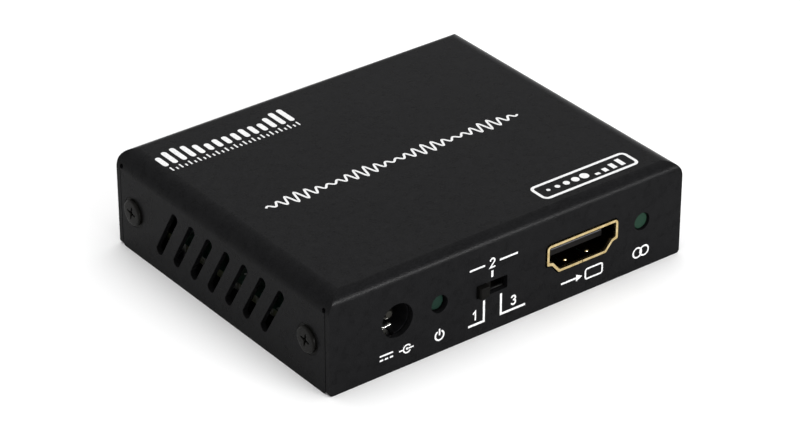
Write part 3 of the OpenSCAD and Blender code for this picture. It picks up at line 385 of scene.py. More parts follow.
@dataclass(frozen=True)
class Moulding(Finish):
    """Moulded plastic or rubber, with a spark-eroded grain and small changes of tone."""

    colour: Colour
    roughness: float = 0.5
    specular: float = 0.4
    grain: float = 0.12 * MM
    depth: float = 0.004 * MM
    tone: float = 0.15
    dust: float = 0.03

    def dress(self, coat: Coat) -> None:
        """Changes tone and roughness with the grain's patches, under a little dust.

        Args:
            coat: the material to feed.
        """
        grain = coat.use("grain", Size=self.grain)
        low, high = shade(self.colour, 1 - self.tone), shade(self.colour, 1 + self.tone)
        coat.set(colour=coat.blend(grain["Patches"], *MID, low, high),
                 rough=coat.remap(grain["Patches"], *MID, self.roughness - 0.05, self.roughness + 0.05),
                 specular=self.specular)
        coat.cover(coat.use("dust", Amount=self.dust)["Mask"], DUST)
        coat.bump(grain["Height"], self.depth)


@dataclass(frozen=True)
class PaintedHighlightMoulding(Moulding):
    """Moulded plastic with a painted highlight: a paler colour laid inside given boxes."""

    boxes: tuple[Box, ...] = ()
    # the painted highlight's colour
    edge: Colour = (0.1140, 0.1140, 0.1254)

    def dress(self, coat: Coat) -> None:
        """Lays the edge colour, a painted highlight, over the plastic inside the boxes.

        Args:
            coat: the material to feed.
        """
        super().dress(coat)
        coat.cover(coat.inside(self.boxes), self.edge)


@dataclass(frozen=True)
class TintedResin(Finish):
    """Tinted epoxy of an unlit lamp or a light window: deeper where it faces the view, and paler towards the
    rim as a painted sheen.
    """

    colour: Colour
    # painted sheen: the colour where the surface turns away from the view
    painted_sheen: Colour
    roughness: float = 0.22
    specular: float = 0.04

    def dress(self, coat: Coat) -> None:
        """Mixes the paler colour in as the surface turns away from the view, a painted sheen, and in slow
        clouds.

        Args:
            coat: the material to feed.
        """
        grain = coat.use("grain", Size=0.35 * MM)
        facing = coat.add("ShaderNodeLayerWeight", {"Blend": 0.35}).outputs["Facing"]
        # painted sheen: the facing weight mixes in the paler colour, and the patches add slow clouds
        sheen_and_clouds = coat.math("ADD", facing, coat.remap(grain["Patches"], *MID, -0.10, 0.10), True)
        coat.set(colour=coat.mix(sheen_and_clouds, self.colour, self.painted_sheen), specular=self.specular,
                 rough=coat.remap(grain["Height"], *MID, self.roughness - 0.04, self.roughness + 0.06))
        coat.bump(grain["Height"], 0.003 * MM)


@dataclass(frozen=True)
class SolderMask(Finish):
    """A printed board: green mask over copper tracks, tinned pads, and a pale laminate edge with edge pads,
    both darkened on the side faces as painted shade.
    """

    mask: Colour = (0.0057, 0.0266, 0.0152)
    track: Colour = (0.0114, 0.0494, 0.0285)
    laminate: Colour = (0.28, 0.30, 0.16)
    tin: Colour = (0.62, 0.62, 0.60)
    grid: float = 0.6 * MM
    track_cells: float = 190.0
    pad_cells: float = 420.0
    pad_area_cells: float = 120.0
    wear_cells: float = 1400.0
    fibre_cells: float = 2500.0
    edge_pitch: float = 3.1 * MM
    edge_end: float = 17.0 * MM

    def dress(self, coat: Coat) -> None:
        """Draws tracks and pads on the faces, and patchy pads along the edges, with painted shade on the side
        faces.

        The tracks follow the ridges of a noise whose point is snapped to a grid, so they run in straight
        steps. The tinned pads are dots of a second grid. An edge pad is where the fraction left of Y over
        the pitch is near a half, up to the row's end. A metre is added to Y first, to keep it positive.

        Args:
            coat: the material to feed.
        """
        grid = coat.vector("SNAP", coat.point, (self.grid, self.grid, self.grid))
        ridge = coat.math("ABSOLUTE", coat.math("SUBTRACT", coat.noise(grid, self.track_cells, 1.0), 0.5))
        tracks = coat.remap(ridge, 0.035, 0.015)
        dots = coat.add("ShaderNodeTexVoronoi", {"Vector": coat.point, "Scale": self.pad_cells,
                                                 "Randomness": 0.35})
        pads = coat.math("MULTIPLY", coat.remap(dots.outputs["Distance"], 0.20, 0.17),
                         coat.remap(coat.noise(grid, self.pad_area_cells, 1.0), 0.55, 0.60))
        top = coat.mix(pads, coat.mix(tracks, self.mask, self.track), self.tin)
        edge = coat.remap(coat.math("ABSOLUTE", coat.split(coat.normal())[2]), 0.5, 0.3)
        along = coat.split(coat.point)[1]
        row = coat.math("FRACT", coat.math("DIVIDE", coat.math("ADD", along, 1.0), self.edge_pitch))
        row = coat.remap(coat.math("ABSOLUTE", coat.math("SUBTRACT", row, 0.5)), 0.30, 0.26)
        worn = coat.remap(coat.noise(coat.point, self.wear_cells), 0.46, 0.56)
        ended = coat.remap(along, self.edge_end + 0.5 * MM, self.edge_end - 0.5 * MM)
        edge_pads = coat.math("MULTIPLY", coat.math("MULTIPLY", coat.math("MULTIPLY", row, worn), ended), edge)
        # painted shade: on the side faces the laminate is 0.12 to 0.25 of its colour, and the edge pads' tin
        # half of its own
        side = coat.mix(coat.noise(coat.point, self.fibre_cells), shade(self.laminate, 0.12),
                        shade(self.laminate, 0.25))
        metal = coat.math("MAXIMUM", edge_pads, coat.math("MULTIPLY", pads, coat.math("SUBTRACT", 1.0, edge)))
        coat.set(colour=coat.mix(edge, top, coat.mix(edge_pads, side, shade(self.tin, 0.5))), metal=metal,
                 rough=coat.remap(metal, 0.0, 1.0, 0.34, 0.42))
        coat.bump(coat.math("ADD", coat.math("MULTIPLY", tracks, 0.5), pads), 0.03 * MM)


@dataclass(frozen=True)
class Package(Finish):
    """A chip: a moulded body, with everything outside the body's box bare tinned metal."""

    centre: Point
    half: Point
    colour: Colour = (0.018, 0.018, 0.019)
    metal: Colour = (0.66, 0.65, 0.62)

    def dress(self, coat: Coat) -> None:
        """Mixes plastic inside the box with metal outside it, both with the grain's patches.

        Args:
            coat: the material to feed.
        """
        mask = coat.inside([(self.centre, self.half)])
        grain = coat.use("grain", Size=0.10 * MM)
        tone = coat.blend(grain["Patches"], *MID, shade(self.colour, 0.8), shade(self.colour, 1.3))
        pin = coat.blend(grain["Patches"], *MID, shade(self.metal, 0.75), self.metal)
        coat.set(colour=coat.mix(mask, pin, tone), metal=coat.math("SUBTRACT", 1.0, mask),
                 rough=coat.remap(mask, 0.0, 1.0, 0.32, 0.58))
        coat.bump(grain["Height"], 0.004 * MM)


@dataclass(frozen=True)
class EndCapped(Finish):
    """Small ceramic parts with tinned end caps, in rows whose middles lie on given X lines."""

    lines: tuple[float, ...]
    cap: float = 0.52 * MM
    colour: Colour = (0.30, 0.20, 0.12)
    metal: Colour = (0.66, 0.65, 0.62)

    def dress(self, coat: Coat) -> None:
        """Tins what is further from the nearest line than the cap's distance.

        Args:
            coat: the material to feed.
        """
        across, away = coat.split(coat.point)[0], 1.0
        for line in self.lines:
            away = coat.math("MINIMUM", coat.math("ABSOLUTE", coat.math("SUBTRACT", across, line)), away)
        cap = coat.remap(away, self.cap - 0.02 * MM, self.cap + 0.02 * MM)
        grain = coat.use("grain", Size=0.12 * MM)
        tone = coat.mix(grain["Patches"], shade(self.colour, 0.6), shade(self.colour, 1.3))
        coat.set(colour=coat.mix(cap, tone, self.metal), metal=cap,
                 rough=coat.remap(grain["Height"], *MID, 0.32, 0.46))
        coat.bump(grain["Height"], 0.005 * MM)


@dataclass(frozen=True)
class DrawnCan(Finish):
    """Aluminium capacitor cans: a bare top with a dark polarity segment, over a black foot."""

    centres: tuple[Spot, ...]
    top: float
    foot: float
    radius: float = 2.5 * MM
    metal: Colour = (0.70, 0.71, 0.72)
    dark: Colour = (0.012, 0.012, 0.014)

    def dress(self, coat: Coat) -> None:
        """Darkens the foot, and the part of each top that is beyond 0.45 radius to one side.

        Args:
            coat: the material to feed.
        """
        segments = [((x, y - 0.75 * self.radius, self.top), (self.radius, 0.30 * self.radius, 0.05 * MM))
                    for x, y in self.centres]
        low = coat.remap(coat.split(coat.point)[2], self.foot + 0.02 * MM, self.foot - 0.02 * MM)
        dark = coat.math("MAXIMUM", coat.inside(segments), low)
        lines = coat.use("drawn", Stretch=(1.0, 1.0, 0.05), Size=0.12 * MM)
        bare = coat.mix(lines["Tone"], shade(self.metal, 0.8), self.metal)
        coat.set(colour=coat.mix(dark, bare, self.dark), metal=coat.math("SUBTRACT", 1.0, dark),
                 rough=coat.remap(dark, 0.0, 1.0, 0.26, 0.5))
        coat.bump(lines["Height"], 0.002 * MM)


@dataclass(frozen=True)
class Ink(Finish):
    """White screen print, a little uneven where it lies on the paint's grain."""

    colour: Colour = (0.80, 0.80, 0.80)

    def dress(self, coat: Coat) -> None:
        """Thins the ink where the grain is low.

        Args:
            coat: the material to feed.
        """
        grain = coat.use("grain", Size=0.22 * MM)
        thin = coat.remap(grain["Height"], 0.30, 0.62, 0.72, 1.0)
        coat.set(colour=coat.mix(thin, shade(self.colour, 0.25), self.colour), specular=0.3,
                 rough=coat.remap(grain["Patches"], *MID, 0.50, 0.62))
        coat.bump(grain["Height"], 0.012 * MM)


@dataclass(frozen=True)
class StudioFloor(Finish):
    """Matt paper under the box: white to the camera and in reflections, greyer in the light it throws."""

    colour: Colour = (0.97, 0.97, 0.97)
    thrown: float = 0.75

    def dress(self, coat: Coat) -> None:
        """Gives the paper its tone, and takes some off for the rays that carry plain light.

        Args:
            coat: the material to feed.
        """
        white = coat.mix(coat.noise(coat.point, 60.0, 3.0), shade(self.colour, 0.99), self.colour)
        coat.set(colour=coat.mix(coat.shown(), shade(self.colour, self.thrown), white), rough=1.0, specular=0.0)


# Objects


def link(name: str, data: bpy.types.ID) -> bpy.types.Object:
    """Makes an object and adds it to the scene.

    Args:
        name: the object's name.
        data: its mesh, light or camera.

    Returns:
        The object.
    """
    made = bpy.data.objects.new(name, data)
    bpy.context.scene.collection.objects.link(made)
    return made


def new_mesh(name: str, points: np.ndarray, faces: list, material: bpy.types.Material,
             smooth: bool = False) -> bpy.types.Object:
    """Makes an object of vertices and faces.

    Args:
        name: the object's name.
        points: rows of X, Y, Z.
        faces: each face's corners.
        material: its finish.
        smooth: whether it is shaded smooth.

    Returns:
        The object.
    """
    mesh = bpy.data.meshes.new(name)
    mesh.from_pydata(points.tolist(), [], faces)
    mesh.materials.append(material)
    mesh.polygons.foreach_set("use_smooth", [smooth] * len(faces))
    mesh.update()
    return link(name, mesh)


def unit(vectors: np.ndarray) -> np.ndarray:
    """Gives a vector, or rows of them, at length one."""
    return vectors / np.linalg.norm(vectors, axis=-1, keepdims=True)


def around(centre: Spot, radius: float, turn: np.ndarray) -> np.ndarray:
    """Gives the points of a circle at some angles in radians."""
    return np.array(centre) + radius * np.stack([np.cos(turn), np.sin(turn)], 1)


def bands(rings: int, size: int, closed: bool = False) -> np.ndarray:
    """Gives the faces between rings of points, each ring joined to the next.

    Args:
        rings: how many rings there are.
        size: how many points each of them has.
        closed: whether the last ring is joined to the first as well.

    Returns:
        Rows of four corners, two on a ring and then two on the next.
    """
    first, k = size * np.arange(rings if closed else rings - 1)[:, None], np.arange(size)[None, :]
    second, after = (first + size) % (size * rings), (k + 1) % size
    return np.stack([first + k, first + after, second + after, second + k], 2).reshape(-1, 4)


# Printed marks


class Panel(Enum):
    """A face that takes print: its (across, up, out) origin in the object's frame, and the three directions."""

    FRONT = ((0.0, -29.8 * MM, 0.0), (1, 0, 0), (0, 0, 1), (0, -1, 0))
    REAR = ((0.0, 29.8 * MM, 0.0), (-1, 0, 0), (0, 0, 1), (0, 1, 0))
    TOP = ((0.0, 0.0, 17.9 * MM), (1, 0, 0), (0, 1, 0), (0, 0, 1))

    def points(self, local: np.ndarray) -> np.ndarray:
        """Carries rows of (across, up, out) in millimetres to the object's frame in metres."""
        origin, *directions = (np.array(part, float) for part in self.value)
        return origin + (local * MM) @ np.stack(directions)


class Print:
    """One printed mark, gathered from strokes. Places on the panel are in millimetres."""

    sink = 0.006
    rise = 0.012
    step = 0.001

    def __init__(self) -> None:
        """Starts with no strokes."""
        self.corners: list[np.ndarray] = []
        self.faces: list[np.ndarray] = []
        self.count = 0

    def stroke(self, path: list[Spot] | np.ndarray, width: float | Iterable, closed: bool = False) -> "Print":
        """Adds a thin slab along a path, with square ends.

        At each point the slab's edge stands off by half the width over the cosine of half the turn, so
        corners are mitred. Every stroke is a thousandth of a millimetre higher than the one before it.

        Args:
            path: rows of (across, up).
            width: the width, or one for each point.
            closed: whether the path runs back to its start.

        Returns:
            The print itself.
        """
        path = np.asarray(path, float)
        count = len(path)
        ahead, behind = np.roll(path, -1, 0) - path, path - np.roll(path, 1, 0)
        if not closed:
            ahead[-1], behind[0] = behind[-1], ahead[0]
        ahead = unit(ahead)
        along = unit(ahead + unit(behind))
        half = (np.broadcast_to(width, count) / 2 / np.clip((ahead * along).sum(1), 0.5, 1.0))[:, None]
        left = np.stack([-along[:, 1], along[:, 0]], 1) * half
        top = self.rise + self.step * len(self.corners)
        low, high = np.full((count, 1), -self.sink), np.full((count, 1), top)
        ring = np.stack([np.hstack([path + left, low]), np.hstack([path + left, high]),
                         np.hstack([path - left, high]), np.hstack([path - left, low])], 1)
        faces = bands(count, 4, closed)
        if not closed:
            faces = np.vstack([faces, TURNED, np.arange(4) + 4 * (count - 1)])
        self.corners.append(ring.reshape(-1, 3))
        self.faces.append(faces + self.count)
        self.count += 4 * count
        return self

    def line(self, points: list[Spot] | np.ndarray, width: float) -> "Print":
        """Adds a line with round ends, whose width there follows a circle at three angles.

        Args:
            points: its corners.
            width: its width.

        Returns:
            The print itself.
        """
        path, angle = np.array(points, float), np.radians([18, 38, 60])[:, None]
        head = path[0] + unit(path[0] - path[1]) * np.cos(angle) * width / 2
        tail = path[-1] + unit(path[-1] - path[-2]) * np.cos(angle[::-1]) * width / 2
        sizes = width * np.sin(angle[:, 0])
        widths = np.concatenate([sizes, np.full(len(path), width), sizes[::-1]])
        return self.stroke(np.vstack([head, path, tail]), widths)

    def arc(self, centre: Spot, radius: float, start: float, end: float, width: float) -> "Print":
        """Adds part of a circle, from one angle in degrees to another."""
        turn = np.radians(np.linspace(start, end, 4 + int(abs(end - start) / 12)))
        return self.line(around(centre, radius, turn), width)

    def ring(self, centre: Spot, radius: float, width: float) -> "Print":
        """Adds a full circle."""
        return self.stroke(around(centre, radius, np.linspace(0, 2 * math.pi, 36, endpoint=False)), width, True)

    def disc(self, centre: Spot, radius: float) -> "Print":
        """Adds a filled circle, as a stroke across it whose width follows the circle."""
        turn = np.radians(np.linspace(170, 10, 13))
        return self.stroke(around(centre, radius, turn) * [1, 0] + [0, centre[1]], 2 * radius * np.sin(turn))

    def frame(self, low: Spot, high: Spot, radius: float, width: float) -> "Print":
        """Adds the outline of a rectangle with round corners.

        Args:
            low: its lowest corner.
            high: its highest corner.
            radius: the corners' radius.
            width: the line's width.

        Returns:
            The print itself.
        """
        curve = around((0.0, 0.0), radius, np.radians(np.linspace(0, 90, 5)))
        (left, lower), (right, upper) = np.array(low) + radius, np.array(high) - radius
        path = np.vstack([curve + [right, upper], curve[::-1] * [-1, 1] + [left, upper],
                          -curve + [left, lower], curve[::-1] * [1, -1] + [right, lower]])
        return self.stroke(path, width, True)

    def arrow(self, start: Spot, end: Spot, width: float, head: float) -> "Print":
        """Adds an arrow.

        Args:
            start: the shaft's start.
            end: the tip.
            width: the shaft's width.
            head: the head's length and width.

        Returns:
            The print itself.
        """
        start, end = np.array(start, float), np.array(end, float)
        way = unit(end - start)
        neck = end - way * head
        return self.stroke([start, neck + way * 0.1], width).stroke([neck, end], [head, 0.04])

    def digit(self, number: int, low: Spot, height: float, width: float) -> "Print":
        """Adds a plain 1, 2 or 3.

        Args:
            number: the number.
            low: the middle of its foot.
            height: its height.
            width: the line's width.

        Returns:
            The print itself.
        """
        def bend(x: float, y: float, radius: float, start: float, end: float) -> list[np.ndarray]:
            """Gives points of an arc in shares of the digit's height."""
            return list(around((x, y), radius, np.radians(np.linspace(start, end, 9))))

        shapes = {
            1: [[(-0.22, 0.76), (0.04, 1.0), (0.04, 0.0)]],
            2: [bend(0.0, 0.73, 0.27, 165, -35) + [(-0.27, 0.0), (0.29, 0.0)]],
            3: [bend(0.0, 0.75, 0.25, 150, -80), bend(0.0, 0.26, 0.27, 85, -150)],
        }
        for points in shapes[number]:
            self.line(np.array(low) + height * np.array(points), width)
        return self

    def build(self, name: str, panel: Panel, ink: bpy.types.Material) -> None:
        """Makes the mark's object on a panel of the case.

        Args:
            name: the object's name.
            panel: the face that it is printed on.
            ink: its material.
        """
        faces = np.vstack(self.faces).tolist()
        made = new_mesh(name, panel.points(np.vstack(self.corners)), faces, ink)
        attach(made, "case")
        LOG.info("%s: %d faces on the %s panel", name, len(faces), panel.name.lower())


@dataclass
class Marks:
    """The marks printed on one panel, with lengths and line widths in millimetres."""

    panel: ClassVar[Panel]
    line: float = 0.30
    bar: float = 0.34
    tip: float = 1.3
    foot: float = 2.2

    def marks(self) -> dict[str, Print]:
        """Gives the marks by name. Each panel has its own."""
        raise NotImplementedError

    def port(self, x: float, side: int) -> Print:
        """Draws a video port's sign: a frame to one side and an arrow to the other, pointing right.

        Args:
            x: the port's middle.
            side: 1 where the frame is on the right, -1 where it is on the left.

        Returns:
            The mark.
        """
        frame_x, arrow_x, z = x + 2.7 * side, x - 2.05 * side, self.foot
        mark = Print().frame((frame_x - 1.8, z + 0.1), (frame_x + 1.8, z + 2.0), 0.4, self.line)
        return mark.arrow((arrow_x - 2.25, z + 1.05), (arrow_x + 2.25, z + 1.05), self.bar, self.tip)

    def build(self, ink: bpy.types.Material) -> None:
        """Makes the panel's marks."""
        for name, mark in self.marks().items():
            mark.build(name, self.panel, ink)


@dataclass
class FrontMarks(Marks):
    """The marks under and over the front panel's sockets, lamps and switch."""

    panel = Panel.FRONT
    thin: float = 0.26
    leader: float = 0.40
    digit_height: float = 1.6
    upper_row: float = 12.75
    lower_row: float = 2.4
    slot_foot: float = 6.3
    socket_x: float = -23.0
    lamp_x: float = -14.6
    switch_x: float = -3.97
    video_x: float = 14.82
    link_x: float = 27.7

    def power(self) -> Print:
        """Draws the direct-current sign and the centre-positive sign under the power socket."""
        x, z, mark = self.socket_x, self.foot + 1.0, Print()
        mark.stroke([(x - 3.5, z + 0.5), (x - 0.9, z + 0.5)], self.line)
        for i in range(3):
            mark.stroke([(x - 3.5 + 0.98 * i, z - 0.3), (x - 2.86 + 0.98 * i, z - 0.3)], self.line)
        mark.arc((x + 1.9, z), 0.72, 40, 320, self.thin).disc((x + 1.9, z), 0.24)
        mark.stroke([(x + 2.2, z), (x + 3.2, z)], self.thin)
        return mark.stroke([(x + 0.3, z), (x + 1.1, z)], self.thin)

    def lamp(self) -> Print:
        """Draws a power sign under the power lamp."""
        x, z = self.lamp_x, self.foot + 0.95
        return Print().arc((x, z), 0.85, 125, 415, self.line).line([(x, z + 0.15), (x, z + 1.15)], self.line)

    def scale(self) -> Print:
        """Draws the switch's three places: 2 over the slot, 1 and 3 under it, each with its leader."""
        x, tall, mark = self.switch_x, self.digit_height, Print()
        mark.digit(2, (x, self.upper_row - 0.8), tall, self.line).stroke([(x, 10.1), (x, 11.3)], 0.42)
        for start, end in ((-4.6, -1.5), (1.5, 5.2)):
            mark.stroke([(x + start, self.upper_row), (x + end, self.upper_row)], self.bar)
        for number, middle, start, end in ((1, -7.4, -8.8, -5.6), (3, 0.5, 2.95, -2.1)):
            leader = [(start, self.lower_row), (end, self.lower_row), (end, self.slot_foot)]
            mark.stroke(leader, self.leader).digit(number, (middle, self.lower_row + 0.9), tall, self.line)
        return mark

    def link(self) -> Print:
        """Draws two joined rings under the link lamp."""
        x, z = self.link_x, self.foot + 1.05
        return Print().ring((x - 0.75, z), 0.9, self.line).ring((x + 0.75, z), 0.9, self.line)

    def marks(self) -> dict[str, Print]:
        """Gives the front panel's marks by name."""
        return {"print_power_in": self.power(), "print_power_lamp": self.lamp(),
                "print_mode_scale": self.scale(), "print_video_in": self.port(self.video_x, 1),
                "print_link_lamp": self.link()}


@dataclass
class TopMarks(Marks):
    """The pattern printed on the top: a row of level bars, ticks, a wave and a framed badge."""

    panel = Panel.TOP
    tick: float = 0.28
    bars_low: Spot = (-32.6, 19.9)
    bar_pitch: float = 1.82
    bar_count: int = 15
    wave_low: Spot = (-27.7, -1.2)
    wave_length: float = 51.9
    wave_line: float = 0.40
    badge_low: Spot = (9.9, -26.2)
    badge_high: Spot = (29.7, -22.1)

    def bars(self) -> Print:
        """Draws the level bars, whose heights follow the product of two waves, and the ticks under them."""
        x, y, mark = *self.bars_low, Print()
        for i in range(self.bar_count):
            tall = 1.9 + 2.4 * abs(math.sin(0.55 * i + 0.4) * math.cos(0.21 * i))
            mark.line([(x + self.bar_pitch * i, y + 0.5), (x + self.bar_pitch * i, y + tall)], 1.0)
        for i in range(2 * self.bar_count - 1):
            place, upper = x + self.bar_pitch * i / 2, y - (0.7 if i % 2 == 0 else 1.2)
            mark.stroke([(place, y - 1.9), (place, upper)], self.tick)
        return mark

    def wave(self) -> Print:
        """Draws a sine wave whose height swells and fades four times along it."""
        s = np.linspace(0, 1, 361)
        up = 1.45 * np.sin(2 * math.pi * 26 * s) * (0.25 + 0.75 * np.sin(4 * math.pi * s) ** 2)
        path = np.stack([self.wave_low[0] + self.wave_length * s, self.wave_low[1] + up], 1)
        return Print().stroke(path, self.wave_line)

    def badge(self) -> Print:
        """Draws a rounded frame with a row of dots and four blocks inside."""
        mark = Print().frame(self.badge_low, self.badge_high, 0.9, 0.55)
        x, z = self.badge_low[0], (self.badge_low[1] + self.badge_high[1]) / 2
        for i in range(5):
            mark.disc((x + 2.2 + 1.9 * i, z), 0.35 + 0.12 * i)
        for i in range(4):
            mark.stroke([(x + 12.0 + 1.8 * i, z - 1.1), (x + 12.0 + 1.8 * i, z - 0.5 + 0.5 * i)], 0.9)
        return mark

    def marks(self) -> dict[str, Print]:
        """Gives the top's marks by name."""
        return {"print_level_bars": self.bars(), "print_wave": self.wave(), "print_badge": self.badge()}


@dataclass
class RearMarks(Marks):
    """The marks under the rear panel's ports. Across is seen from behind, so X is turned round."""

    panel = Panel.REAR
    thin: float = 0.28
    video_x: float = -14.8
    optical_x: float = 20.5
    audio_x: float = 5.5

    def optical(self) -> Print:
        """Draws a ring and a dot with a ray on each side."""
        u, v = -self.optical_x, self.foot + 1.05
        mark = Print().ring((u, v), 0.95, self.thin).disc((u, v), 0.35)
        for side in (-1, 1):
            mark.line([(u + side * 1.5, v), (u + side * 2.6, v)], self.thin)
        return mark

    def audio(self) -> Print:
        """Draws headphones."""
        u, v = -self.audio_x, self.foot
        mark = Print().arc((u, v + 0.75), 1.0, 0, 180, self.thin)
        for side in (-1, 1):
            mark.line([(u + side * 0.98, v + 0.2), (u + side * 0.98, v + 0.75)], 0.6)
        return mark

    def marks(self) -> dict[str, Print]:
        """Gives the rear panel's marks by name."""
        return {"print_video_out": self.port(-self.video_x, -1), "print_optical_out": self.optical(),
                "print_audio_out": self.audio()}


# Added surfaces


def surface(name: str, parts: list[Surface], material: bpy.types.Material) -> None:
    """Makes one smooth object on the case from one or more closed surfaces.

    Args:
        name: the object's name.
        parts: the vertices and the faces of each surface.
        material: its finish.
    """
    faces, first = [], 0
    for points, corners in parts:
        faces += [[int(i) + first for i in face] for face in corners]
        first += len(points)
    made = new_mesh(name, np.vstack([points for points, _ in parts]), faces, material, True)
    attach(made, "case")
    LOG.info("%s: %d faces", name, len(faces))


def dome(foot: Point, radius: float, rise: float, rings: int = 6, steps: int = 20) -> Surface:
    """Gives a low dome on a flat floor.

    At an angle t from 0 at the floor to 90 degrees at the top, its radius is the cosine of t times the
    foot's radius, and its height the sine of t times the rise.

    Args:
        foot: the middle of its foot.
        radius: the foot's radius.
        rise: its height.
        rings: how many rings there are up to the top.
        steps: how many points there are round a ring.

    Returns:
        Its vertices and its faces.
    """
    t = np.linspace(0, math.pi / 2, rings + 1)[:-1, None]
    turn = np.linspace(0, 2 * math.pi, steps, endpoint=False)[None, :]
    ring = np.stack([radius * np.cos(t) * np.cos(turn), radius * np.cos(t) * np.sin(turn),
                     rise * np.sin(t) + 0 * turn], 2).reshape(-1, 3)
    points = np.vstack([ring, [[0, 0, rise]]]) + np.array(foot)
    last = (rings - 1) * steps
    cap = [[last + k, last + (k + 1) % steps, rings * steps] for k in range(steps)]
    return points, bands(rings, steps).tolist() + cap + [list(range(steps))[::-1]]


def bent_strip(centre: Point, low: float, high: float, start: float, end: float, length: float,
               steps: int = 10) -> Surface:
    """Gives a strip bent round an axis along Y, such as a leaf that lies on a bore's wall.

    Args:
        centre: the point on the axis where its front end is.
        low: its inner radius.
        high: its outer radius.
        start: its first angle in degrees, from +X towards +Z.
        end: its last angle in degrees.
        length: its length along +Y.
        steps: how many parts its bend has.

    Returns:
        Its vertices and its faces.
    """
    turn = np.radians(np.linspace(start, end, steps + 1))
    section = [(low, 0.0), (high, 0.0), (high, length), (low, length)]
    points = np.stack([np.stack([r * np.cos(turn), y + 0 * turn, r * np.sin(turn)], 1) for r, y in section], 1)
    last = 4 * steps
    faces = np.vstack([bands(steps + 1, 4)[:, TURNED], [0, 1, 2, 3], [last + 3, last + 2, last + 1, last]])
    return points.reshape(-1, 3) + np.array(centre), faces


def screw_head(centre: Point, radius: float, rise: float, steps: int = 64) -> Surface:
    """Gives the raised part of a screw's head on a side wall, open in the middle by a cross recess.

    At an angle t the recess reaches out by the radius times 0.17 plus 0.36 times the sixth power of the
    cosine of 2t. Rings run up the outer wall, over the round edge, across the face and down the recess,
    each at a share of the way from the recess to the outer wall and a share of the rise.

    Args:
        centre: the head's middle, on the wall.
        radius: its outer radius.
        rise: how far it stands out of the wall.
        steps: how many parts there are round it.

    Returns:
        Its vertices and its faces.
    """
    t = np.linspace(0, 2 * math.pi, steps, endpoint=False)[:, None]
    recess = radius * (0.17 + 0.36 * np.cos(2 * t + 0.35) ** 6)
    share, height = np.array([(1.0, -0.2), (1.0, 0.5), (0.975, 0.72), (0.93, 0.88), (0.87, 0.97), (0.78, 1.0),
                              (0.12, 1.0), (0.05, 1.0), (0.0, 0.9), (0.0, -0.2)]).T
    out = recess + (radius - recess) * share
    side = math.copysign(1.0, centre[0])
    points = np.stack([side * rise * height + 0 * t, side * out * np.cos(t), out * np.sin(t)], 2)
    return points.reshape(-1, 3) + np.array(centre), bands(steps, len(share), True)[:, TURNED]


def soften(node: str, width: float, segments: int = 3) -> None:
    """Rounds a node's sharp edges for the eye with modifiers, and leaves its mesh as it is.

    Args:
        node: the node's name.
        width: how far the rounding reaches from the edge.
        segments: how many faces it has across.
    """
    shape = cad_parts[node]
    weld = shape.modifiers.new("weld", "WELD")
    weld.merge_threshold = 0.001 * MM
    bevel = shape.modifiers.new("bevel", "BEVEL")
    bevel.width, bevel.segments = width, segments
    bevel.limit_method, bevel.angle_limit = "ANGLE", math.radians(40)


# Pieces of the box


class Piece:
    """A group of the model's nodes that share one part of the product."""

    finishes: ClassVar[dict[str, Finish]] = {}
    soft: ClassVar[dict[str, float]] = {}

    def paint(self) -> None:
        """Gives each node of the group its finish."""
        for node, finish in self.finishes.items():
            made = finish.build(f"{node}_finish")
            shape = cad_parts[node]
            for slot in shape.material_slots:
                slot.material = made
            low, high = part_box(node)
            LOG.info("%s: %s, %.1f x %.1f x %.1f mm", node, type(finish).__name__, *((high - low) / MM))
        for node, width in self.soft.items():
            soften(node, width)


GOLD = Plating((0.66, 0.53, 0.29), 0.24, (1.0, 0.05, 1.0), 0.12 * MM, 0.0015 * MM, (0.38, 0.28, 0.12))
NICKEL = Plating((0.52, 0.51, 0.49), 0.26)
ZINC = Plating((0.60, 0.61, 0.62), 0.34, (1.0, 1.0, 0.08), 0.16 * MM)
TINNED = Plating((0.68, 0.68, 0.67), 0.36, (1.0, 1.0, 0.10), 0.14 * MM)
BRONZE = Plating((0.72, 0.55, 0.34), 0.30, (0.08, 1.0, 1.0), 0.12 * MM)
BLACK_MOULDING = Moulding((0.0046, 0.0042, 0.0042), 0.42, 0.05)


class Cover(Piece):
    """The folded sheet that makes the top and the four walls."""

    finishes = {"top_cover": PowderCoat()}


class BasePlate(Piece):
    """The bottom sheet with its tabs and standoffs."""

    finishes = {"base_plate": PowderCoat(depth=0.024 * MM), "board_standoffs": ZINC, "board_screws": ZINC}


@dataclass
class SideScrews(Piece):
    """The four cross screws in the sides, whose heads stand proud of the cover."""

    # painted highlight: the cross recesses are painted paler from 0.22 mm inside the wall inwards
    finishes = {"side_screws": PaintedDepthLightPlating(
        (0.0088, 0.0086, 0.0080), 0.32, (0.1, 1.0, 1.0), 0.10 * MM, 0.004 * MM, metallic=0.0, specular=0.03,
        axis=0, mouth=36.3 * MM, own_colour_depth=0.22 * MM, fade=0.25 * MM, painted_deep_colour=(0.012, 0.011, 0.009))}
    oxide: Moulding = Moulding((0.0074, 0.0072, 0.0066), 0.26, 0.04, 0.16 * MM, 0.004 * MM)
    wall: float = 36.3 * MM
    places: Spot = (-24.1 * MM, 25.0 * MM)
    height: float = 8.0 * MM
    head_radius: float = 2.32 * MM
    head_rise: float = 0.56 * MM

    def paint(self) -> None:
        """Gives the screws their finish and adds the raised parts of their heads."""
        super().paint()
        heads = [screw_head((x, y, self.height), self.head_radius, self.head_rise)
                 for x in (-self.wall, self.wall) for y in self.places]
        surface("side_screw_raised_heads", heads, self.oxide.build("raised_head_finish"))


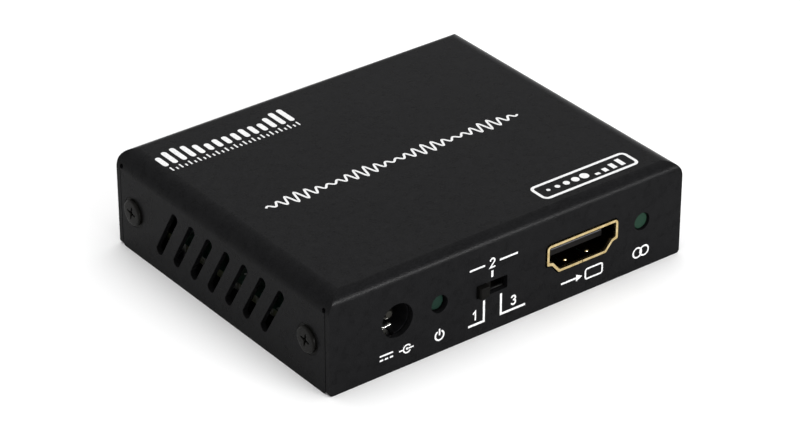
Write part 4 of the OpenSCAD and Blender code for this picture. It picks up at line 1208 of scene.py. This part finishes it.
@dataclass
class PowerSocket(Piece):
    """The round power socket: body, pin and side spring, and the leaf's bent end on the bore's floor."""

    finishes = {"dc_jack_body": Moulding((0.0076, 0.0076, 0.0084), 0.36, 0.04),
                # painted shade: the pin's nickel is given a near-black colour inside the bore
                "dc_jack_pin": Plating((0.035, 0.034, 0.030), 0.30),
                "dc_jack_spring": NICKEL}
    axis: Point = (-23.0 * MM, -29.8 * MM, 9.15 * MM)
    leaf_depth: float = 3.0 * MM
    leaf_radii: Spot = (2.60 * MM, 2.86 * MM)
    leaf_angles: Spot = (-106.0, -67.0)
    leaf_length: float = 1.7 * MM

    def paint(self) -> None:
        """Gives the nodes their finishes and adds the leaf's bent end."""
        super().paint()
        x, y, z = self.axis
        strip = bent_strip((x, y + self.leaf_depth, z), *self.leaf_radii, *self.leaf_angles, self.leaf_length)
        surface("dc_jack_leaf_end", [strip], NICKEL.build("leaf_end_finish"))


class Lamps(Piece):
    """The two unlit green lamps and their wires."""

    finishes = {"power_led": TintedResin((0.0082, 0.0240, 0.0168), (0.0095, 0.0265, 0.0185), 0.42),
                "link_led": TintedResin((0.0118, 0.0345, 0.0215), (0.0135, 0.0380, 0.0240), 0.42),
                "lamp_leads": TINNED}


class ModeSwitch(Piece):
    """The three-place slide switch."""

    soft = {"switch_knob": 0.16 * MM}
    # painted shade: the frame's steel and the base's brown are given dark colours inside the switch's slot
    finishes = {"switch_frame": Plating((0.16, 0.16, 0.155), 0.34),
                "switch_base": Moulding((0.0380, 0.0228, 0.0133), 0.5, 0.1),
                "switch_terminals": TINNED, "switch_wiper": BRONZE,
                "switch_knob": Moulding((0.0048, 0.0046, 0.0042), 0.46, 0.02, 0.16 * MM, 0.006 * MM)}


@dataclass
class VideoPorts(Piece):
    """The two video sockets: plated shell, insulator tongue and contacts, and bumps pressed in the shell."""

    # painted shade: the shells are painted dark from 0.3 mm behind the mouth inwards
    shell = PaintedDepthLightPlating(GOLD.colour, GOLD.roughness, GOLD.stretch, GOLD.size, GOLD.depth, GOLD.dull)
    # painted highlight: a paler band along each tongue's upper front edge
    tongue = PaintedHighlightMoulding(BLACK_MOULDING.colour, BLACK_MOULDING.roughness, BLACK_MOULDING.specular, boxes=(
        ((14.82 * MM, -28.2 * MM, 9.43 * MM), (5.3 * MM, 0.10 * MM, 0.09 * MM)),
        ((-14.8 * MM, 28.2 * MM, 9.43 * MM), (5.3 * MM, 0.10 * MM, 0.09 * MM))))
    finishes = {"hdmi_in_shell": shell, "hdmi_in_tongue": tongue, "hdmi_in_contacts": GOLD,
                "hdmi_out_shell": shell, "hdmi_out_tongue": tongue, "hdmi_out_contacts": GOLD}
    soft = {"hdmi_in_tongue": 0.10 * MM, "hdmi_out_tongue": 0.10 * MM}
    bump_places = {"hdmi_in_bumps": ((12.49, -28.1), (17.15, -28.1)),
                   "hdmi_out_bumps": ((-12.47, 28.1), (-17.13, 28.1))}
    bump_radius: float = 0.42 * MM
    bump_rise: float = 0.30 * MM
    bump_floor: float = 6.44 * MM

    def paint(self) -> None:
        """Gives the nodes their finishes and adds the bumps on the shells' floors that hold a plug."""
        super().paint()
        metal = GOLD.build("shell_bumps_finish")
        for name, places in self.bump_places.items():
            feet = [(x * MM, y * MM, self.bump_floor) for x, y in places]
            surface(name, [dome(foot, self.bump_radius, self.bump_rise) for foot in feet], metal)


class OpticalPort(Piece):
    """The optical output with its sprung dust shutter."""

    finishes = {"optical_housing": Moulding((0.0133, 0.0133, 0.0142), 0.46, 0.14),
                "optical_shutter": Moulding((0.0228, 0.0228, 0.0247), 0.38, 0.16, 0.18 * MM, 0.006 * MM),
                "shutter_pin": ZINC, "shutter_spring": ZINC,
                "optical_emitter": TintedResin((0.14, 0.004, 0.004), (0.30, 0.02, 0.02)),
                "optical_leads": TINNED}


class AudioJack(Piece):
    """The 3.5 mm jack."""

    finishes = {"audio_jack_body": BLACK_MOULDING, "audio_jack_ferrule": NICKEL, "audio_jack_contacts": BRONZE}


class Board(Piece):
    """The printed board and what is soldered on it."""

    top = 5.7 * MM
    finishes = {
        "circuit_board": SolderMask(),
        "main_chip": Package((-1.0 * MM, 0.5 * MM, top + 0.8 * MM), (6.95 * MM, 6.95 * MM, 1.2 * MM)),
        "thermal_pad": Moulding((0.38, 0.43, 0.47), 0.62, 0.3, 0.3 * MM, 0.01 * MM),
        "heat_sink": Plating((0.74, 0.75, 0.76), 0.34, (1.0, 0.04, 1.0), 0.18 * MM, 0.006 * MM),
        "audio_chip": Package((5.5 * MM, 12.5 * MM, top + 0.7 * MM), (2.52 * MM, 2.22 * MM, 0.8 * MM)),
        "control_chip": Package((15.0 * MM, -12.0 * MM, top + 0.7 * MM), (3.52 * MM, 3.52 * MM, 0.8 * MM)),
        "power_regulator": Package((-23.0 * MM, -9.5 * MM, top + 1.0 * MM), (3.27 * MM, 1.77 * MM, 1.1 * MM)),
        "power_inductor": Moulding((0.050, 0.050, 0.054), 0.62, 0.3, 0.22 * MM, 0.02 * MM, 0.25),
        "crystal_can": Plating((0.70, 0.71, 0.72), 0.26, (0.05, 1.0, 1.0), 0.2 * MM),
        "filter_capacitors": DrawnCan(
            ((-16.5 * MM, -13.0 * MM), (-24.0 * MM, 8.5 * MM), (-14.5 * MM, 11.5 * MM)),
            top + 5.4 * MM, top + 0.7 * MM),
        "chip_parts": EndCapped((-13.5 * MM, 24.0 * MM)),
    }


# Studio


@dataclass(frozen=True)
class Lamp:
    """An area light: a lamp that only lights, or a card that only reflections show."""

    name: str
    place: Point
    target: Point
    size: Spot
    power: float
    mirrored: bool = False

    def build(self) -> None:
        """Makes the light and turns it to its target."""
        data = bpy.data.lights.new(self.name, "AREA")
        data.shape, data.size, data.size_y, data.energy = "RECTANGLE", *self.size, self.power
        made = link(self.name, data)
        made.location = self.place
        made.rotation_euler = (Vector(self.target) - Vector(self.place)).to_track_quat("-Z", "Y").to_euler()
        made.visible_glossy, made.visible_diffuse = self.mirrored, not self.mirrored


@dataclass
class Studio:
    """The white floor, the soft lights, the world and the camera."""

    lamps: tuple[Lamp, ...] = (
        Lamp("top_light", (0.10, 0.15, 1.30), (0.0, 0.0, 0.0), (1.6, 1.6), 10.5),
        Lamp("front_light", (0.30, -1.14, 0.30), (0.0, 0.0, 0.01), (0.9, 0.30), 12.0),
        Lamp("strip_card", (0.30, -1.14, 0.17), (0.0, 0.0, 0.01), (0.9, 0.26), 45.0, mirrored=True))
    floor_half: float = 3.0
    floor_low: float = -0.02 * MM
    world_level: float = 0.70
    azimuth: float = -37.39
    elevation: float = 30.43
    distance: float = 549.4 * MM
    slide_right: float = 0.21 * MM
    slide_up: float = 5.69 * MM
    lens: float = 147.07
    sensor: float = 36.0
    clip: Spot = (0.01, 50.0)

    def floor(self) -> None:
        """Makes the floor, a plain sheet just under the box."""
        square = np.array([(-1, -1, 1), (1, -1, 1), (1, 1, 1), (-1, 1, 1)])
        points = square * [self.floor_half, self.floor_half, self.floor_low]
        new_mesh("studio_floor", points, [(0, 1, 2, 3)], StudioFloor().build("studio_floor"))

    def world(self) -> None:
        """Makes an even grey light all round that the camera and reflections see as white."""
        world = bpy.data.worlds.new("studio_world")
        world.use_nodes = True
        graph, background = Graph(world.node_tree), world.node_tree.nodes["Background"].inputs
        level = graph.add("ShaderNodeMix", {0: graph.shown(), 2: self.world_level, 3: 1.0}, data_type="FLOAT")
        graph.feed(background["Strength"], level.outputs[0])
        graph.feed(background["Color"], (1.0, 1.0, 1.0))
        bpy.context.scene.world = world

    def camera(self) -> None:
        """Places the camera: it looks along the given azimuth and elevation and is slid in its own plane."""
        turn, rise = math.radians(self.azimuth), math.radians(self.elevation)
        back = Vector((math.sin(turn) * math.cos(rise), -math.cos(turn) * math.cos(rise), math.sin(rise)))
        right = Vector((0.0, 0.0, 1.0)).cross(back).normalized()
        up = back.cross(right)
        place = back * self.distance + right * self.slide_right + up * self.slide_up
        data = bpy.data.cameras.new("camera")
        data.lens, data.sensor_width, data.clip_start, data.clip_end = self.lens, self.sensor, *self.clip
        made = link("camera", data)
        made.matrix_world = Matrix.Translation(place) @ Matrix((right, up, back)).transposed().to_4x4()
        bpy.context.scene.camera = made

    def build(self) -> None:
        """Makes the whole studio."""
        self.floor()
        self.world()
        for lamp in self.lamps:
            lamp.build()
        self.camera()
        bpy.context.scene.view_settings.view_transform = "Standard"
        LOG.info("studio: floor, world, two lamps, one card and the camera")


def main() -> None:
    """Paints the pieces in the order in which the box is put together, then prints the marks."""
    logging.basicConfig(level=logging.INFO, format="%(name)s: %(message)s")
    for piece in (BasePlate, Board, PowerSocket, Lamps, ModeSwitch, VideoPorts, OpticalPort, AudioJack, Cover,
                  SideScrews):
        piece().paint()
    ink = Ink().build("white_print")
    for marks in (FrontMarks, TopMarks, RearMarks):
        marks().build(ink)
    Studio().build()


if __name__ == "__main__":
    main()
